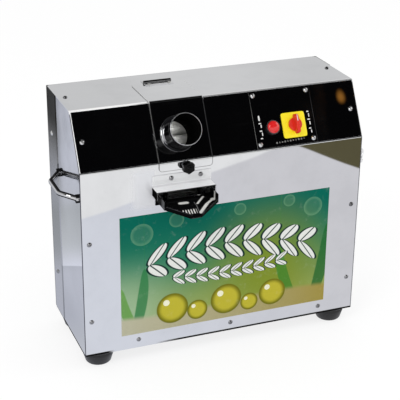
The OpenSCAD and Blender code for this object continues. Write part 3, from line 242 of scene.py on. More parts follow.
# The hems are painted dark grey: a painted dark reflection of the dim space round the spout.
hem_steel = metal("hem_steel", tone(40, 40, 42), tone(66, 66, 68), 0.2, wave=0.05, wave_scale=60)
# The lamp's bezel is chrome painted darker: a painted dark reflection in place of the bright floor it would
# mirror.
chrome_painted_dark = metal("chrome_painted_dark", tone(104, 104, 106), tone(128, 128, 130), 0.2, wave=0.05, wave_scale=60)
screw_steel = metal("screw_steel", tone(120, 120, 122), tone(158, 158, 160), 0.2, wave=0.1, wave_scale=90)
zinc = metal("zinc", tone(168, 168, 164), tone(205, 205, 200), 0.24, wave=0.1, wave_scale=90)
mill_steel = metal("mill_finish", tone(140, 141, 143), tone(172, 173, 175), 0.3, 0.1, (0.04, 1, 1), 0.1)
turned = metal("turned_steel", tone(170, 170, 172), tone(206, 206, 208), 0.16, 0.08, (1, 0.05, 0.05), 0.1)
roller_steel = metal("roller_steel", tone(172, 172, 170), tone(206, 206, 203), 0.42, 0.1, (1, 0.05, 0.05), 0.1)
bronze = metal("bronze", tone(150, 104, 52), tone(190, 140, 76), 0.26, 0.1, (1, 0.1, 0.1), 0.08)
print("sheet and bar metals ready")

# %% [markdown]
# ## Painted tones of single faces
#
# A polished sheet looks like its surroundings, and those differ from face to face. The spout looks into the
# dark under the hood, the left side mirrors an edge on the floor, and a bent edge catches the light. We
# don't build that room, so these reflections, highlights and shade are painted into the colour instead. A
# mask finds each face: a smooth step of one coordinate, or a product of such steps. The pairs of numbers
# below are where a step starts and ends, in metres.

# %% Hood tones
SPOUT_X, SPOUT_FOLD = -0.088, Vector((-0.088, -0.1335, 0.3335))
HOOD_SHEET, HOOD_FLANGE, HOOD_HEAD = (0.3555, 0.3560), (0.3610, 0.3625), (0.3786, 0.3789)
HOOD_FOLD, HOOD_FOLD_END = (0.3569, 0.3573), (0.3612, 0.3604)
HOOD_SIDE, HOOD_SKIRT = (0.0564, 0.0568), (0.3572, 0.3568)
x, _, z = hood_steel.xyz()
flange = z.rise(*HOOD_FLANGE)
edges = z.rise(*HOOD_HEAD).most(z.rise(*HOOD_FOLD) * z.rise(*HOOD_FOLD_END))
skirt = abs(x - SPOUT_X).rise(*HOOD_SIDE) * z.rise(*HOOD_SKIRT)
# Painted reflections: the hood's top and flange are lightened to the white they mirror, the fold and the head
# edge get a painted highlight, and the skirts are painted black where they mirror the dark.
shade(hood_steel, z.rise(*HOOD_SHEET) * (1 - flange), tone(247, 248, 249), 0.85)
shade(hood_steel, flange, tone(230, 231, 232), 0.6)
shade(hood_steel, edges, tone(216, 216, 218), 0.85)
shade(hood_steel, skirt, tone(10, 10, 11), 1.0)
print("hood toned")

# %% [markdown]
# The spout is painted nearly black, a painted dark reflection of the dim space under the hood, and only thin
# painted glints draw its folds. A glint is a stroke: the distance from a short line is under a half width.
# Painted glint bars near the lip are a sine of the place across. Here all lengths are in millimetres from the
# middle of the spout's fold.

# %% Spout tones
SPOUT_WALL, WALL_REFLECTION_FORE = (51.5, 51.2), (20, 4)
GLINT_BAR_ACROSS, GLINT_BAR_ALONG, GLINT_BAR_WAVE = (-22, -20, 7, 5), (-18, -16, -6, -9), 1.25
GLINTS = (((-15, 15.2), (-4, 14.6), 4.5), ((13.8, 5.4), (33.8, 29.3), 2.0), ((12, -16.5), (47, 14.5), 2.6),
          ((46, 13), (48, 15), 4.2), ((-6, 46), (-3, 46), 3.0), ((21, 38), (25, 44), 1.6))
FOLD_LINE = ((9.6, 12), (9.6, -18), 0.8)
x, y, _ = spout_steel.xyz()
right, fore = (x - SPOUT_X) * 1000, (y - SPOUT_FOLD.y) * 1000


def stroke(start, end, half):
    """1 within a half width of the line between two points of the spout's floor, in millimetres."""
    run_x, run_y = end[0] - start[0], end[1] - start[1]
    along = ((right - start[0]) * run_x + (fore - start[1]) * run_y) / (run_x ** 2 + run_y ** 2)
    along = along.most(0).least(1)
    off = ((right - start[0] - along * run_x) ** 2 + (fore - start[1] - along * run_y) ** 2).root()
    return off.rise(1.3 * half, 0.7 * half)


def window(value, steps):
    """1 between an opening step and a closing step, which are given as four numbers."""
    return value.rise(*steps[:2]) * value.rise(*steps[2:])


glints = (right * GLINT_BAR_WAVE).sine().rise(-0.2, 0.6) * window(right, GLINT_BAR_ACROSS) * window(fore, GLINT_BAR_ALONG)
for glint_line in GLINTS:
    glints = glints.most(stroke(*glint_line))
# Painted reflection: grey towards the front of the outer left wall. Painted highlights: a grey line along the
# fold and the glints.
left_wall_reflection = right.rise(-51.5, -51.8) * fore.rise(*WALL_REFLECTION_FORE)
shade(spout_steel, left_wall_reflection, tone(92, 92, 95), 0.9)
shade(spout_steel, stroke(*FOLD_LINE), tone(104, 104, 104), 0.9)
shade(spout_steel, glints * abs(right).rise(*SPOUT_WALL), tone(222, 221, 217), 0.8)
print("spout toned with", len(GLINTS), "glints")

# %% [markdown]
# The left side mirrors a step on the floor. That reflection is painted, lighter above the step and darker
# below, and a painted shade line runs along the foot of both sides. The wings of the rear cover get a lighter
# painted reflection and a dark one towards the head. On the front sheet the foot line and the corner get
# painted shade, and the bend at the top, the patch beside the hood and the sides of the flap get painted
# highlights.

# %% Side and rear tones
TO_LEFT, TO_RIGHT = (0.1, -0.1), (-0.1, 0.1)
SIDE_STEP, STEP_TILT, STEP_Y = (0.1955, 0.1985), 0.473, 0.0312
SIDE_LIGHT, SIDE_DARK, SHEET_FOOT = (0.365, 0.195), (0.16, 0.06), (0.0340, 0.0330)
WING, WING_HEAD, WING_EDGE = (0.270, 0.275), (0.308, 0.458), (0.1190, 0.1225)
x, y, z = side_steel.xyz()
left = x.rise(*TO_LEFT)
above = (z + STEP_TILT * (y + STEP_Y)).rise(*SIDE_STEP)
# Painted reflection of the floor's step on the left side, and a painted shade line at the foot of both sides.
shade(side_steel, left * above * z.rise(*SIDE_LIGHT), tone(252, 252, 255))
shade(side_steel, left * (1 - above) * (0.4 + 0.6 * z.rise(*SIDE_DARK)), tone(178, 180, 184))
shade(side_steel, z.rise(*SHEET_FOOT), tone(14, 14, 14), 1.0)
x, y, z = rear_steel.xyz()
wing = abs(x).rise(*WING)
# Painted reflections on the wings: lighter overall, and dark towards the head and the rear edge.
shade(rear_steel, wing, tone(178, 179, 182))
shade(rear_steel, wing * z.rise(*WING_HEAD).most(0.4 * y.rise(*WING_EDGE)), tone(40, 40, 38), 0.7)
print("side and rear toned")

# %% Front sheet tones
MILL_X, FLAP_HALF = -0.080, 0.0515
WALL_FACE, WALL_FOOT, FOOT_BREAKS = (-0.0825, -0.0832), (0.0344, 0.0330), (0.36, 0.44)
CORNER_X, CORNER_Y = (0.2783, 0.2789), (-0.0800, -0.0826)
BESIDE_X, BESIDE_Z = (-0.190, -0.172, -0.138, -0.142), (0.312, 0.326, 0.398, 0.384)
FLAP_SIDE, FLAP_TOP, FLAP_BACK = (0.0006, 0.0003), (0.4975, 0.4985), (0.0696, 0.0690)
BEND_HIGH, BEND_DEEP = (0.4945, 0.4960), (-0.0230, -0.0250)
FLAP_LEFT, FLAP_END = (-0.130, -0.138), (-0.029, -0.027)
x, y, z = polished.xyz()
wall = y.rise(*WALL_FACE)
foot_shadow_line = z.rise(*WALL_FOOT) * wall * polished.noise(7, 1, 0.4).rise(*FOOT_BREAKS)
flap_side = abs(abs(x - MILL_X) - FLAP_HALF).rise(*FLAP_SIDE) * z.rise(*FLAP_TOP) * y.rise(*FLAP_BACK)
bend = z.rise(*BEND_HIGH) * y.rise(*BEND_DEEP)
beside_flap = x.rise(*FLAP_LEFT) + 0.35 * x.rise(*FLAP_END)
# Painted shade: a broken dark line along the foot of the wall and a dark line down the corners.
shade(polished, foot_shadow_line, tone(16, 16, 16), 1.0)
shade(polished, abs(x).rise(*CORNER_X) * y.rise(*CORNER_Y), tone(74, 74, 84), 0.6)
# Painted highlights: the wall beside the hood, the sides of the flap and the bend at the head of the slope.
shade(polished, window(x, BESIDE_X) * window(z, BESIDE_Z) * wall, tone(222, 223, 227), 0.9)
shade(polished, flap_side, tone(214, 215, 216), 0.9)
shade(polished, bend * beside_flap, tone(243, 243, 243), 0.9)
print("front sheet toned")

# %% Bar, screw, edge and hinge tones
BAR_Z, BAR_SIDE = 0.3535, (0.0014, 0.0030)
SLOPE_Z, TOP_Z = (0.400, 0.405, 0.500, 0.495), (0.4970, 0.5000)
FLAP_RIGHT, PLATE_LEFT, FACING_LEFT = (-0.06, -0.04), (0.050, 0.055, 0.080, 0.075), (-0.14, -0.17)
HINGE_Y, KNUCKLE = 0.0735, (0.0038, 0.0028)
x, _, z = bright_bar.xyz()
# Painted reflections: the left bar dark at its top and bottom, the right bar lighter.
shade(bright_bar, abs(z - BAR_Z).rise(*BAR_SIDE) * x.rise(*TO_LEFT), tone(24, 24, 26), 0.8)
shade(bright_bar, x.rise(*TO_RIGHT), tone(240, 240, 242), 0.6)
# A painted highlight: the screws on the slope are lighter.
shade(screw_steel, window(screw_steel.xyz()[2], SLOPE_Z), tone(214, 214, 214))
x, _, z = cut_edge.xyz()
# Painted shade and highlights on the cut edges: darker right of the flap, lighter at the plate's left edge, on
# top and beside the facing.
shade(cut_edge, x.rise(*FLAP_RIGHT), tone(72, 72, 74))
shade(cut_edge, window(x, PLATE_LEFT), tone(132, 132, 130))
shade(cut_edge, z.rise(*TOP_Z), tone(214, 214, 214), 0.8)
shade(cut_edge, x.rise(*FACING_LEFT), tone(252, 252, 252), 0.8)
# A painted dark line of shade along the hinge's knuckle.
shade(hinge_leaf, abs(hinge_leaf.xyz()[1] - HINGE_Y).rise(*KNUCKLE), tone(34, 34, 36))
print("small pieces toned")


# %% Cast iron
def rough_iron(name, dark, light, rough, oil):
    """Cast iron: a grainy skin with an oily film that is glossier in patches."""
    finish = Finish(name, Metallic=0.6)
    patch = finish.noise(22, 4, 0.6).rise(0.35, 0.7)
    skin = finish.noise(650, 3, 0.6)
    finish.set(Base_Color=finish.mix(patch * 0.7 + 0.3 * skin, dark, light), Roughness=rough - oil * patch,
               Normal=finish.bump(skin, 0.35, 0.0006))
    return finish


gear_iron = rough_iron("gear_iron", tone(58, 58, 60), tone(104, 102, 98), 0.5, 0.2)
plate_iron = rough_iron("plate_iron", tone(70, 72, 74), tone(92, 93, 94), 0.62, 0.1)
print("cast iron ready")

# %% [markdown]
# ## Black facing, plastics, rubber and paint
#
# The sloping face is covered in glossy black. Its colour hardly varies, so the life of it is in the gloss:
# faint smears, fine scratches and a little dust. Moulded plastic has a spark-eroded skin, rubber is dull with
# scuffs, and the motor wears a hammered enamel whose dimples come from cell noise.

# %% Blacks, plastics and paint
def gloss_black(name):
    """Glossy black with smears, scratches and dust that dull it. Its right end is wiped clean."""
    finish = Finish(name, Specular_IOR_Level=0.45)
    smear = finish.noise(9, 5, 0.65, (1, 1, 0.4)).rise(0.42, 0.75)
    scratch = finish.noise(260, 2, 0.5, (0.06, 1, 1)).rise(0.62, 0.72)
    dust = finish.cells(520).rise(0.07, 0.03)
    wiped = finish.xyz()[0].rise(0.205, 0.225)
    finish.set(Base_Color=finish.mix(dust * 0.3, tone(2, 2, 3), tone(44, 44, 46)),
               Roughness=0.012 + (0.04 + 0.09 * smear + 0.06 * scratch + 0.2 * dust) * (1 - wiped),
               Normal=finish.bump(finish.noise(6, 1, 0.3), 0.2, 0.002))
    return finish


def moulded(name, dark, light, rough, skin=0.12):
    """Moulded plastic or rubber: a slight drift of colour over a fine pebbled skin."""
    finish = Finish(name)
    drift = finish.noise(45, 3, 0.5)
    pebble = finish.noise(1500, 2, 0.6)
    finish.set(Base_Color=finish.mix(drift, dark, light), Roughness=rough + 0.12 * drift,
               Normal=finish.bump(pebble, skin, 0.0003))
    return finish


facing = gloss_black("black_facing")
black_plastic = moulded("black_plastic", tone(14, 14, 15), tone(27, 27, 29), 0.28)
knob_plastic = moulded("knob_plastic", tone(4, 4, 5), tone(9, 9, 10), 0.14, 0.05)
knob_plastic.set(Specular_IOR_Level=0.14)
rubber = moulded("rubber", tone(7, 7, 8), tone(17, 17, 17), 0.34, 0.2)
yellow_plastic = moulded("yellow_plastic", tone(252, 226, 4), tone(255, 240, 30), 0.3)
red_plastic = moulded("red_plastic", tone(206, 26, 14), tone(236, 52, 30), 0.22)
white_plastic = moulded("white_plastic", tone(212, 211, 206), tone(232, 231, 226), 0.4)
dim_print = moulded("dim_print", tone(112, 112, 110), tone(136, 136, 134), 0.4, 0.02)
white_print = moulded("white_print", tone(205, 205, 203), tone(235, 235, 233), 0.4, 0.02)

red_lens = Finish("red_lens", Coat_Weight=0.6, Emission_Strength=0.12)
glow = red_lens.noise(110, 2, 0.5)
red_lens.set(Base_Color=red_lens.mix(glow, tone(176, 10, 16), tone(236, 40, 40)), Roughness=0.1 + 0.1 * glow,
             Emission_Color=red_lens.mix(glow, tone(160, 6, 10), tone(255, 70, 60)))

motor_paint = Finish("hammer_enamel", Coat_Weight=0.3)
dimple = motor_paint.cells(240, "SMOOTH_F1").rise(0.0, 0.7)
motor_paint.set(Base_Color=motor_paint.mix(dimple, tone(44, 54, 64), tone(74, 88, 101)),
                Roughness=0.3 + 0.12 * dimple, Normal=motor_paint.bump(dimple, 0.4, 0.001))
print("plastics and paint ready")

# %% [markdown]
# ## The printed label
#
# A large vinyl label covers most of the front wall. This one has a plain fresh design of its own: deep
# green at the head, lime towards the foot, a wreath of white leaves, long blades at both sides and beads of
# juice on a cream ground. Every form is a formula on the wall's own coordinates: u runs from 0 to 1 across
# and v from 0 to 1 up.

# %% Label
label = Finish("label_print", Specular_IOR_Level=0.05)
label_low, label_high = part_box("front_decal")
LABEL_W, LABEL_H = label_high.x - label_low.x, label_high.z - label_low.z
across, _, upright = label.xyz()
u = (across - label_low.x) / LABEL_W
v = (upright - label_low.z) / LABEL_H


def blade(foot_u, foot_v, lean, length, width):
    """1 inside a leaf blade: the distance from a bent line is under a width that is nil at both ends."""
    rise = ((v - foot_v) / length).least(1).most(0)
    line = foot_u + lean * rise * (2 - rise)
    half = width * (rise * (1 - rise)).root()
    return (abs(u - line) - half).rise(0.003, -0.003)


def drop(at_u, at_v, radius):
    """1 inside a circle, and a second value that is 1 near its rim."""
    away = (((u - at_u) * (LABEL_W / LABEL_H)) ** 2 + (v - at_v) ** 2).root() / radius
    return away.rise(1.03, 0.97), away.rise(0.62, 0.98)


def bead(at_u, at_v, radius):
    """Three values of a glossy bead of juice: inside it, near its rim, and in the glint at its upper left."""
    inside, rim = drop(at_u, at_v, radius)
    glint, _ = drop(at_u - 0.22 * radius, at_v + 0.42 * radius, 0.2 * radius)
    return inside, rim, glint


def sprig(height, arch, count, length, start, end):
    """A row of leaves on an arched stem: the place along the stem is wrapped into cells, and each cell holds a
    leaf above the stem and one below it. Returns the leaf's edge, below 0 inside, and the distance from its
    rib. The row starts and ends between two leaves, measured along their slant."""
    stem = height + 4 * arch * (u * (1 - u) - 0.1)
    off = abs((v - stem) / length)
    along = u - 0.75 / count * off
    rib = abs((along * count).fract() - 0.5)
    half = 0.76 * (off * (1 - off)).most(0).root()
    ends = along.rise(start - 0.001, start + 0.001), along.rise(end + 0.001, end - 0.001)
    inside = off.rise(1.02, 0.98) * ends[0] * ends[1]
    return rib - half + (1 - inside), rib


ground = label.mix(v.rise(0.05, 0.62), tone(152, 168, 96), tone(44, 124, 92))
ground = label.mix(v.rise(0.45, 0.95), ground, tone(0, 101, 85))
ground = label.mix(u.rise(0.35, 0.0) * v.rise(0.75, 0.15) * 0.85, ground, tone(158, 188, 156))
warm = ((((u - 0.70) * (LABEL_W / LABEL_H)) ** 2 + (v - 0.38) ** 2).root()).rise(0.75, 0.05)
ground = label.mix(warm * 0.85, ground, tone(128, 142, 30))
FAINT_DROPS = (
    (0.10, 0.84, 0.09), (0.26, 0.92, 0.06), (0.92, 0.86, 0.08), (0.56, 0.93, 0.05), (0.80, 0.94, 0.05),
)
for faint_drop in FAINT_DROPS:
    inside, rim = drop(*faint_drop)
    ground = label.mix(inside * (0.06 + 0.12 * rim), ground, tone(170, 220, 170))
for blade_shape, leaf_tone in (
        (blade(0.92, -0.05, 0.08, 0.74, 0.060), tone(30, 104, 48)),
        (blade(0.88, -0.05, -0.12, 0.62, 0.055), tone(64, 130, 44)),
        (blade(0.05, -0.05, 0.06, 0.60, 0.050), tone(44, 124, 70)),
        (blade(0.10, -0.05, -0.10, 0.46, 0.050), tone(96, 152, 66))):
    ground = label.mix(blade_shape * 0.85, ground, leaf_tone)
table = (v + 0.02 * (u * 6).sine()).rise(0.17, 0.12)
ground = label.mix(table, ground, label.mix(u, tone(184, 182, 158), tone(160, 144, 70)))
JUICE_BEADS = ((0.24, 0.17, 0.13), (0.36, 0.12, 0.085), (0.50, 0.17, 0.13), (0.615, 0.11, 0.075),
               (0.73, 0.16, 0.115))
for juice_bead in JUICE_BEADS:
    inside, rim, glint = bead(*juice_bead)
    ground = label.mix(inside, ground, label.mix(rim * 0.9, tone(190, 180, 56), tone(96, 98, 18)))
    ground = label.mix(glint * 0.85, ground, tone(248, 248, 226))
for edge, rib in (sprig(0.56, 0.17, 11, 0.14, 0.0909, 0.9091), sprig(0.47, -0.10, 18, 0.06, 0.2222, 0.7778)):
    ground = label.mix(edge.rise(0.08, 0.03), ground, tone(4, 44, 40))
    ground = label.mix(edge.rise(-0.03, -0.07) * rib.rise(0.02, 0.05), ground, tone(228, 230, 226))
wear = label.noise(60, 4, 0.6)
label.set(Base_Color=label.mix((wear - 0.5).rise(0.05, 0.35) * 0.12, ground, tone(236, 238, 232)),
          Roughness=0.34 + 0.16 * wear, Normal=label.bump(label.noise(28, 2, 0.5), 0.06, 0.001))
print("label:", round(LABEL_W, 3), "by", round(LABEL_H, 3))

# %% [markdown]
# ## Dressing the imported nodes
#
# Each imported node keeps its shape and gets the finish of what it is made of. The inner works are dressed too,
# because they show when the flap is up.

# %% Dress the nodes
FINISH_OF = {
    polished: "front_wrap juice_tray rear_outlet flap",
    hood_steel: "hood",
    spout_steel: "spout",
    chute_steel: "feed_chute",
    side_steel: "left_side_panel right_side_panel",
    rear_steel: "rear_cover",
    bright_bar: "left_handle right_handle",
    mill_steel: "base_plate trash_plate knob_washer motor_bearings",
    chrome_painted_dark: "pilot_body",
    screw_steel: "panel_screws",
    zinc: "frame_bolts tie_rods weld_nut hinge_pin flap_rivets",
    hinge_leaf: "hinge_fixed_leaf hinge_flap_leaf",
    roller_steel: "top_roller front_roller rear_roller",
    turned: "motor_rotor first_shaft second_shaft",
    gear_iron: "first_gear second_gear main_gear top_roller_gear front_roller_gear rear_roller_gear",
    plate_iron: "left_mill_plate right_mill_plate gear_plate mill_brackets",
    motor_paint: "motor_body motor_flange fan_cover terminal_box",
    bronze: "roller_bushes shaft_bushes",
    facing: "slope_fascia flap_fascia control_plate",
    black_plastic: "clamp_knob cable_gland switch_body cooling_fan",
    yellow_plastic: "switch_plate",
    red_plastic: "switch_handle",
    red_lens: "pilot_lens",
    rubber: "rubber_feet",
    white_plastic: "capacitor",
    label: "front_decal",
}
for finish, names in FINISH_OF.items():
    for name in names.split():
        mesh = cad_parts[name].data
        mesh.materials.clear()
        mesh.materials.append(finish.material)
dressed = sum(len(names.split()) for names in FINISH_OF.values())
print("dressed", dressed, "of", len(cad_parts), "nodes")

# %% [markdown]
# ## Surfaces from numbers
#
# A turned or bent form is a grid of points: one parameter runs along a profile or a path and the other runs
# round it. The points come from whole-array sums, and the grid's quads follow from its size alone. Points
# that meet at a pole are merged, so every form is closed.

# %% Surface helpers
def quads(rows, cols, first):
    """Corner numbers of the quads of a grid whose columns close into a ring."""
    i, j = np.meshgrid(np.arange(rows - 1), np.arange(cols), indexing="ij")
    k = (j + 1) % cols
    corners = [i * cols + j, i * cols + k, (i + 1) * cols + k, (i + 1) * cols + j]
    return np.stack(corners, -1).reshape(-1, 4) + first


POLE_GAP = 1e-6


def add_piece(name, grids, body, finish, stands_for=()):
    """Puts grids of rings into one mesh, merges their poles, and hangs the piece on a body of the frame."""
    points, faces, first = [], [], 0
    for grid in grids:
        rows, cols, _ = grid.shape
        points.append(grid.reshape(-1, 3))
        faces.append(quads(rows, cols, first))
        first += rows * cols
    mesh = bpy.data.meshes.new(name)
    mesh.from_pydata(np.concatenate(points).tolist(), [], np.concatenate(faces).tolist())
    work = bmesh.new()
    work.from_mesh(mesh)
    bmesh.ops.remove_doubles(work, verts=work.verts, dist=POLE_GAP)
    bmesh.ops.recalc_face_normals(work, faces=work.faces)
    work.to_mesh(mesh)
    work.free()
    mesh.shade_smooth()
    mesh.materials.append(finish.material)
    piece = bpy.data.objects.new(name, mesh)
    scene.collection.objects.link(piece)
    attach(piece, body)
    if stands_for:
        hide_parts(*stands_for)
    print(name, len(mesh.polygons), "faces")
    return piece


def turn(profile, origin, axis, side, sides=72, radius_share=None):
    """A turned form: each profile point (radius, height) in millimetres runs round the axis. Where a function
    of the angle and the height is given, it multiplies the radius."""
    axis, side = Vector(axis).normalized(), Vector(side).normalized()
    third = axis.cross(side)
    radius, height = np.array(profile, float).T[:, :, None] / 1000
    angle = np.linspace(0, 2 * np.pi, sides, endpoint=False)[None, :]
    if radius_share is not None:
        radius = radius * radius_share(angle, height * 1000)
    around = np.cos(angle)[..., None] * np.array(side) + np.sin(angle)[..., None] * np.array(third)
    return np.array(origin) + radius[..., None] * around + height[..., None] * np.array(axis)


def arc(centre, radius, start, end, steps=9):
    """Points of an arc in the profile plane, from one angle to another in degrees."""
    angle = np.radians(np.linspace(start, end, steps))
    return (np.array(centre) + radius * np.stack([np.cos(angle), np.sin(angle)], -1)).tolist()


def bent_path(corners, radius, steps=8):
    """A path through corners, each inner one rounded by an arc that leaves and meets the legs at a tangent."""
    corners = np.array(corners, float)
    path = [corners[:1]]
    for before, corner, after in zip(corners, corners[1:], corners[2:]):
        back = (before - corner) / np.linalg.norm(before - corner)
        ahead = (after - corner) / np.linalg.norm(after - corner)
        half = np.arccos(np.clip(back @ ahead, -1, 1)) / 2
        middle = corner + (back + ahead) / np.linalg.norm(back + ahead) * radius / np.sin(half)
        start, end = (corner + leg * radius / np.tan(half) - middle for leg in (back, ahead))
        share = np.linspace(0, 1, steps)[:, None]
        swing = np.pi - 2 * half
        spoke = np.sin((1 - share) * swing) * start + np.sin(share * swing) * end
        path.append(middle + spoke / np.sin(swing))
    return np.concatenate([*path, corners[-1:]])


def tube(path, plane_normal, radius, sides=20):
    """A round bar along a flat path: rings stand square to it, and both ends close to a point."""
    along = np.gradient(path, axis=0)
    along /= np.linalg.norm(along, axis=1)[:, None]
    normal = np.array(plane_normal, float)
    out = np.cross(along, normal)
    angle = np.linspace(0, 2 * np.pi, sides, endpoint=False)[None, :, None]
    rings = path[:, None] + radius * (np.cos(angle) * out[:, None] + np.sin(angle) * normal)
    ends = np.repeat(path[[0, -1]][:, None], sides, axis=1)
    return np.concatenate([ends[:1], rings, ends[1:]])


FRONT_Y, FLOOR_Z = -0.0835, 0.030
BEND_Z, SLOPE = 0.370 + FLOOR_Z, np.array([0.0, 55.0, 100.0]) / math.hypot(55, 100)
SLOPE_OUT = np.array([0.0, -SLOPE[2], SLOPE[1]])


def on_slope(x_mm, up_mm, out_mm=0):
    """A point on the sloping face: across, up the slope and out of it, in millimetres."""
    return np.array([x_mm / 1000, FRONT_Y, BEND_Z]) + (SLOPE * up_mm + SLOPE_OUT * out_mm) / 1000


print("surface helpers ready")

# %% [markdown]
# ## The feed chute
#
# The chute is a short polished tube square to the flap. Its mouth is rolled outwards into a bead, and a
# flat ring with a weld fillet holds its foot. All of it is one closed profile that is turned round the
# tube's axis. The bore and the wall mirror the black slope, so their dark is painted in: painted shade in
# the bore and a painted dark reflection on the wall and part of the foot ring. The distance from the axis
# and the height along it tell bore, wall and bead apart.

# %% Feed chute
chute_profile = [
    [28, -28], [28, 18], [28, 46], *arc((28.8, 52.8), 0.95, 210, -30, 13),
    [29.5, 51.6], [29.5, 30], [29.5, 8], *arc((32.7, 8), 3.2, 180, 262, 7), *arc((32.9, 4.2), 0.6, 90, 0, 4),
    [33.5, 2.36], [29.5, 2.36], [29.5, -28], [28, -28],
]
CHUTE_AT = on_slope(-88, 51)
CHUTE_BLACK, CHUTE_DARK, RING_DARK = tone(12, 12, 12), tone(34, 34, 36), tone(26, 26, 28)
x, y, z = (place - float(at) for place, at in zip(chute_steel.xyz(), CHUTE_AT))
out = y * float(SLOPE_OUT[1]) + z * float(SLOPE_OUT[2])
away = (x * x + y * y + z * z - out * out).root()
bore = away.rise(0.0287, 0.0284)
wall = away.rise(0.0287, 0.0290) * away.rise(0.0310, 0.0302) * out.rise(0.0518, 0.0510)
streak = x.rise(-0.0235, -0.0265) * out.rise(0.046, 0.040)
ring = away.rise(0.0302, 0.0306) * away.rise(0.0334, 0.0331) * out.rise(0.0500, 0.0450)
# Painted shade in the bore, and a painted dark reflection on the wall and the foot ring; the streak at the left
# stays bright.
shade(chute_steel, bore, CHUTE_BLACK, 1.0)
shade(chute_steel, wall * (1 - streak), CHUTE_DARK, 0.4)
shade(chute_steel, ring * x.rise(-0.0302, -0.0288), RING_DARK, 0.8)
add_piece("feed_chute_tube", [turn(chute_profile, CHUTE_AT, SLOPE_OUT, (1, 0, 0), 112)], "flap",
          chute_steel, ["feed_chute"])

# %% [markdown]
# ## The clamp knob
#
# A black moulded knob with six lobes clamps the flap. Its radius is a turned profile times a wave of the
# angle, and the wave dies out towards the cap. The stud carries a real thread: the radius falls and climbs
# with height minus angle, which draws a helix.

# %% Clamp knob
KNOB_AT = np.array([MILL_X, FRONT_Y, 0.3925])
KNOB_SEAT = 6.8
LOBES, LOBE_DEPTH = 6, 0.095
THREAD_PITCH, THREAD_DEPTH = 1.25, 0.13


def lobes(angle, height):
    """Six lobes: full on the grip and gone on the cap and at the underside."""
    grip = np.clip((height - KNOB_SEAT) / 1.5, 0, 1) * np.clip((KNOB_SEAT + 13 - height) / 2.5, 0, 1)
    return 1 - LOBE_DEPTH * grip * (1 + np.cos(LOBES * angle))


def thread(angle, height):
    """A screw thread of 1.25 millimetres pitch: a triangle wave of height less turns."""
    turns = (height / THREAD_PITCH - angle / (2 * np.pi)) % 1
    return 1 - THREAD_DEPTH * np.abs(2 * turns - 1)


seat, top = KNOB_SEAT, KNOB_SEAT + 12
knob_profile = [[0, seat], [7, seat], *arc((9.4, seat + 1), 1, 270, 300, 3),
                *arc((10.6, seat + 2.2), 1.4, 300, 360, 6), [12, seat + 6],
                *arc((9.8, top - 2.2), 2.2, 0, 90, 9), [7.8, top], *arc((7, top + 0.5), 0.5, 270, 180, 4),
                *arc((5.6, top + 1.1), 0.9, 0, 90, 5), [3.8, top + 2], [3.4, top + 1.4], [0, top + 1.3]]
stud_rows = np.linspace(0.75, KNOB_SEAT + 0.5, 60)
stud_profile = [[0, 0.6], [2.3, 0.6], *[[3, row] for row in stud_rows], [0, KNOB_SEAT + 0.6]]
add_piece("clamp_knob_moulding",
          [turn(knob_profile, KNOB_AT, (0, -1, 0), (1, 0, 0), 120, lobes),
           turn(stud_profile, KNOB_AT, (0, -1, 0), (1, 0, 0), 36, thread)],
          "clamp_knob", knob_plastic, ["clamp_knob"])
washer_profile = [[3.2, 5.35], [6.6, 5.35], [7, 5.7], [7, 6.4], [6.6, 6.74], [3.2, 6.74], [3.2, 5.35]]
add_piece("washer_ring", [turn(washer_profile, KNOB_AT, (0, -1, 0), (1, 0, 0), 56)], "knob_washer", mill_steel,
          ["knob_washer"])

# %% [markdown]
# ## The switch handle and the lamp
#
# The switch has a red handle: a round skirt with a grip bar across it. The bar is a superellipsoid, a ball
# whose sines and cosines are raised to a small power, which squares it up and keeps soft edges. A white line
# on the bar shows where it points. The lamp's lens is a turned dome with rings moulded into its skirt.

# %% Switch handle
SWITCH_X, SWITCH_UP = 141.5, 40
SWITCH_AT = on_slope(SWITCH_X, SWITCH_UP)


def soft_block(centre, half, axes_xyz, power, taper, rows=28, cols=48):
    """A superellipsoid: latitude and longitude waves raised to a power, with sides that lean in to the top."""
    lat = np.linspace(-np.pi / 2, np.pi / 2, rows)[:, None]
    lon = np.linspace(-np.pi, np.pi, cols, endpoint=False)[None, :]
    soften = lambda wave: np.sign(wave) * np.abs(wave) ** power
    height = soften(np.sin(lat)) + 0 * lon
    lean = 1 - taper * (height + 1) / 2
    local = np.stack([half[0] * soften(np.cos(lat)) * soften(np.cos(lon)) * lean,
                      half[1] * soften(np.cos(lat)) * soften(np.sin(lon)) * (0.5 + 0.5 * lean),
                      half[2] * height], -1)
    return centre + local @ np.array(axes_xyz) / 1000


slope_axes = [[1, 0, 0], SLOPE, SLOPE_OUT]
skirt = [[0, 8.1], [12.2, 8.1], *arc((12.4, 8.7), 0.6, 270, 360, 4), *arc((11.2, 12.3), 1.8, 0, 90, 7),
         [6, 14.1], [0, 14.1]]
spindle = [[0, -11.9], [4, -11.9], [4, 8.3], [0, 8.3]]
add_piece("switch_grip",
          [turn(skirt, SWITCH_AT, SLOPE_OUT, (1, 0, 0), 64), turn(spindle, SWITCH_AT, SLOPE_OUT, (1, 0, 0), 32),
           soft_block(on_slope(SWITCH_X, SWITCH_UP, 18.6), (4.6, 19, 6.4), slope_axes, 0.32, 0.22)],
          "switch_handle", red_plastic, ["switch_handle"])
pointer = soft_block(on_slope(SWITCH_X, SWITCH_UP + 10, 24.95), (0.8, 6.2, 0.16), slope_axes, 0.4, 0.0, 10, 24)
add_piece("switch_pointer", [pointer], "switch_handle", white_print)

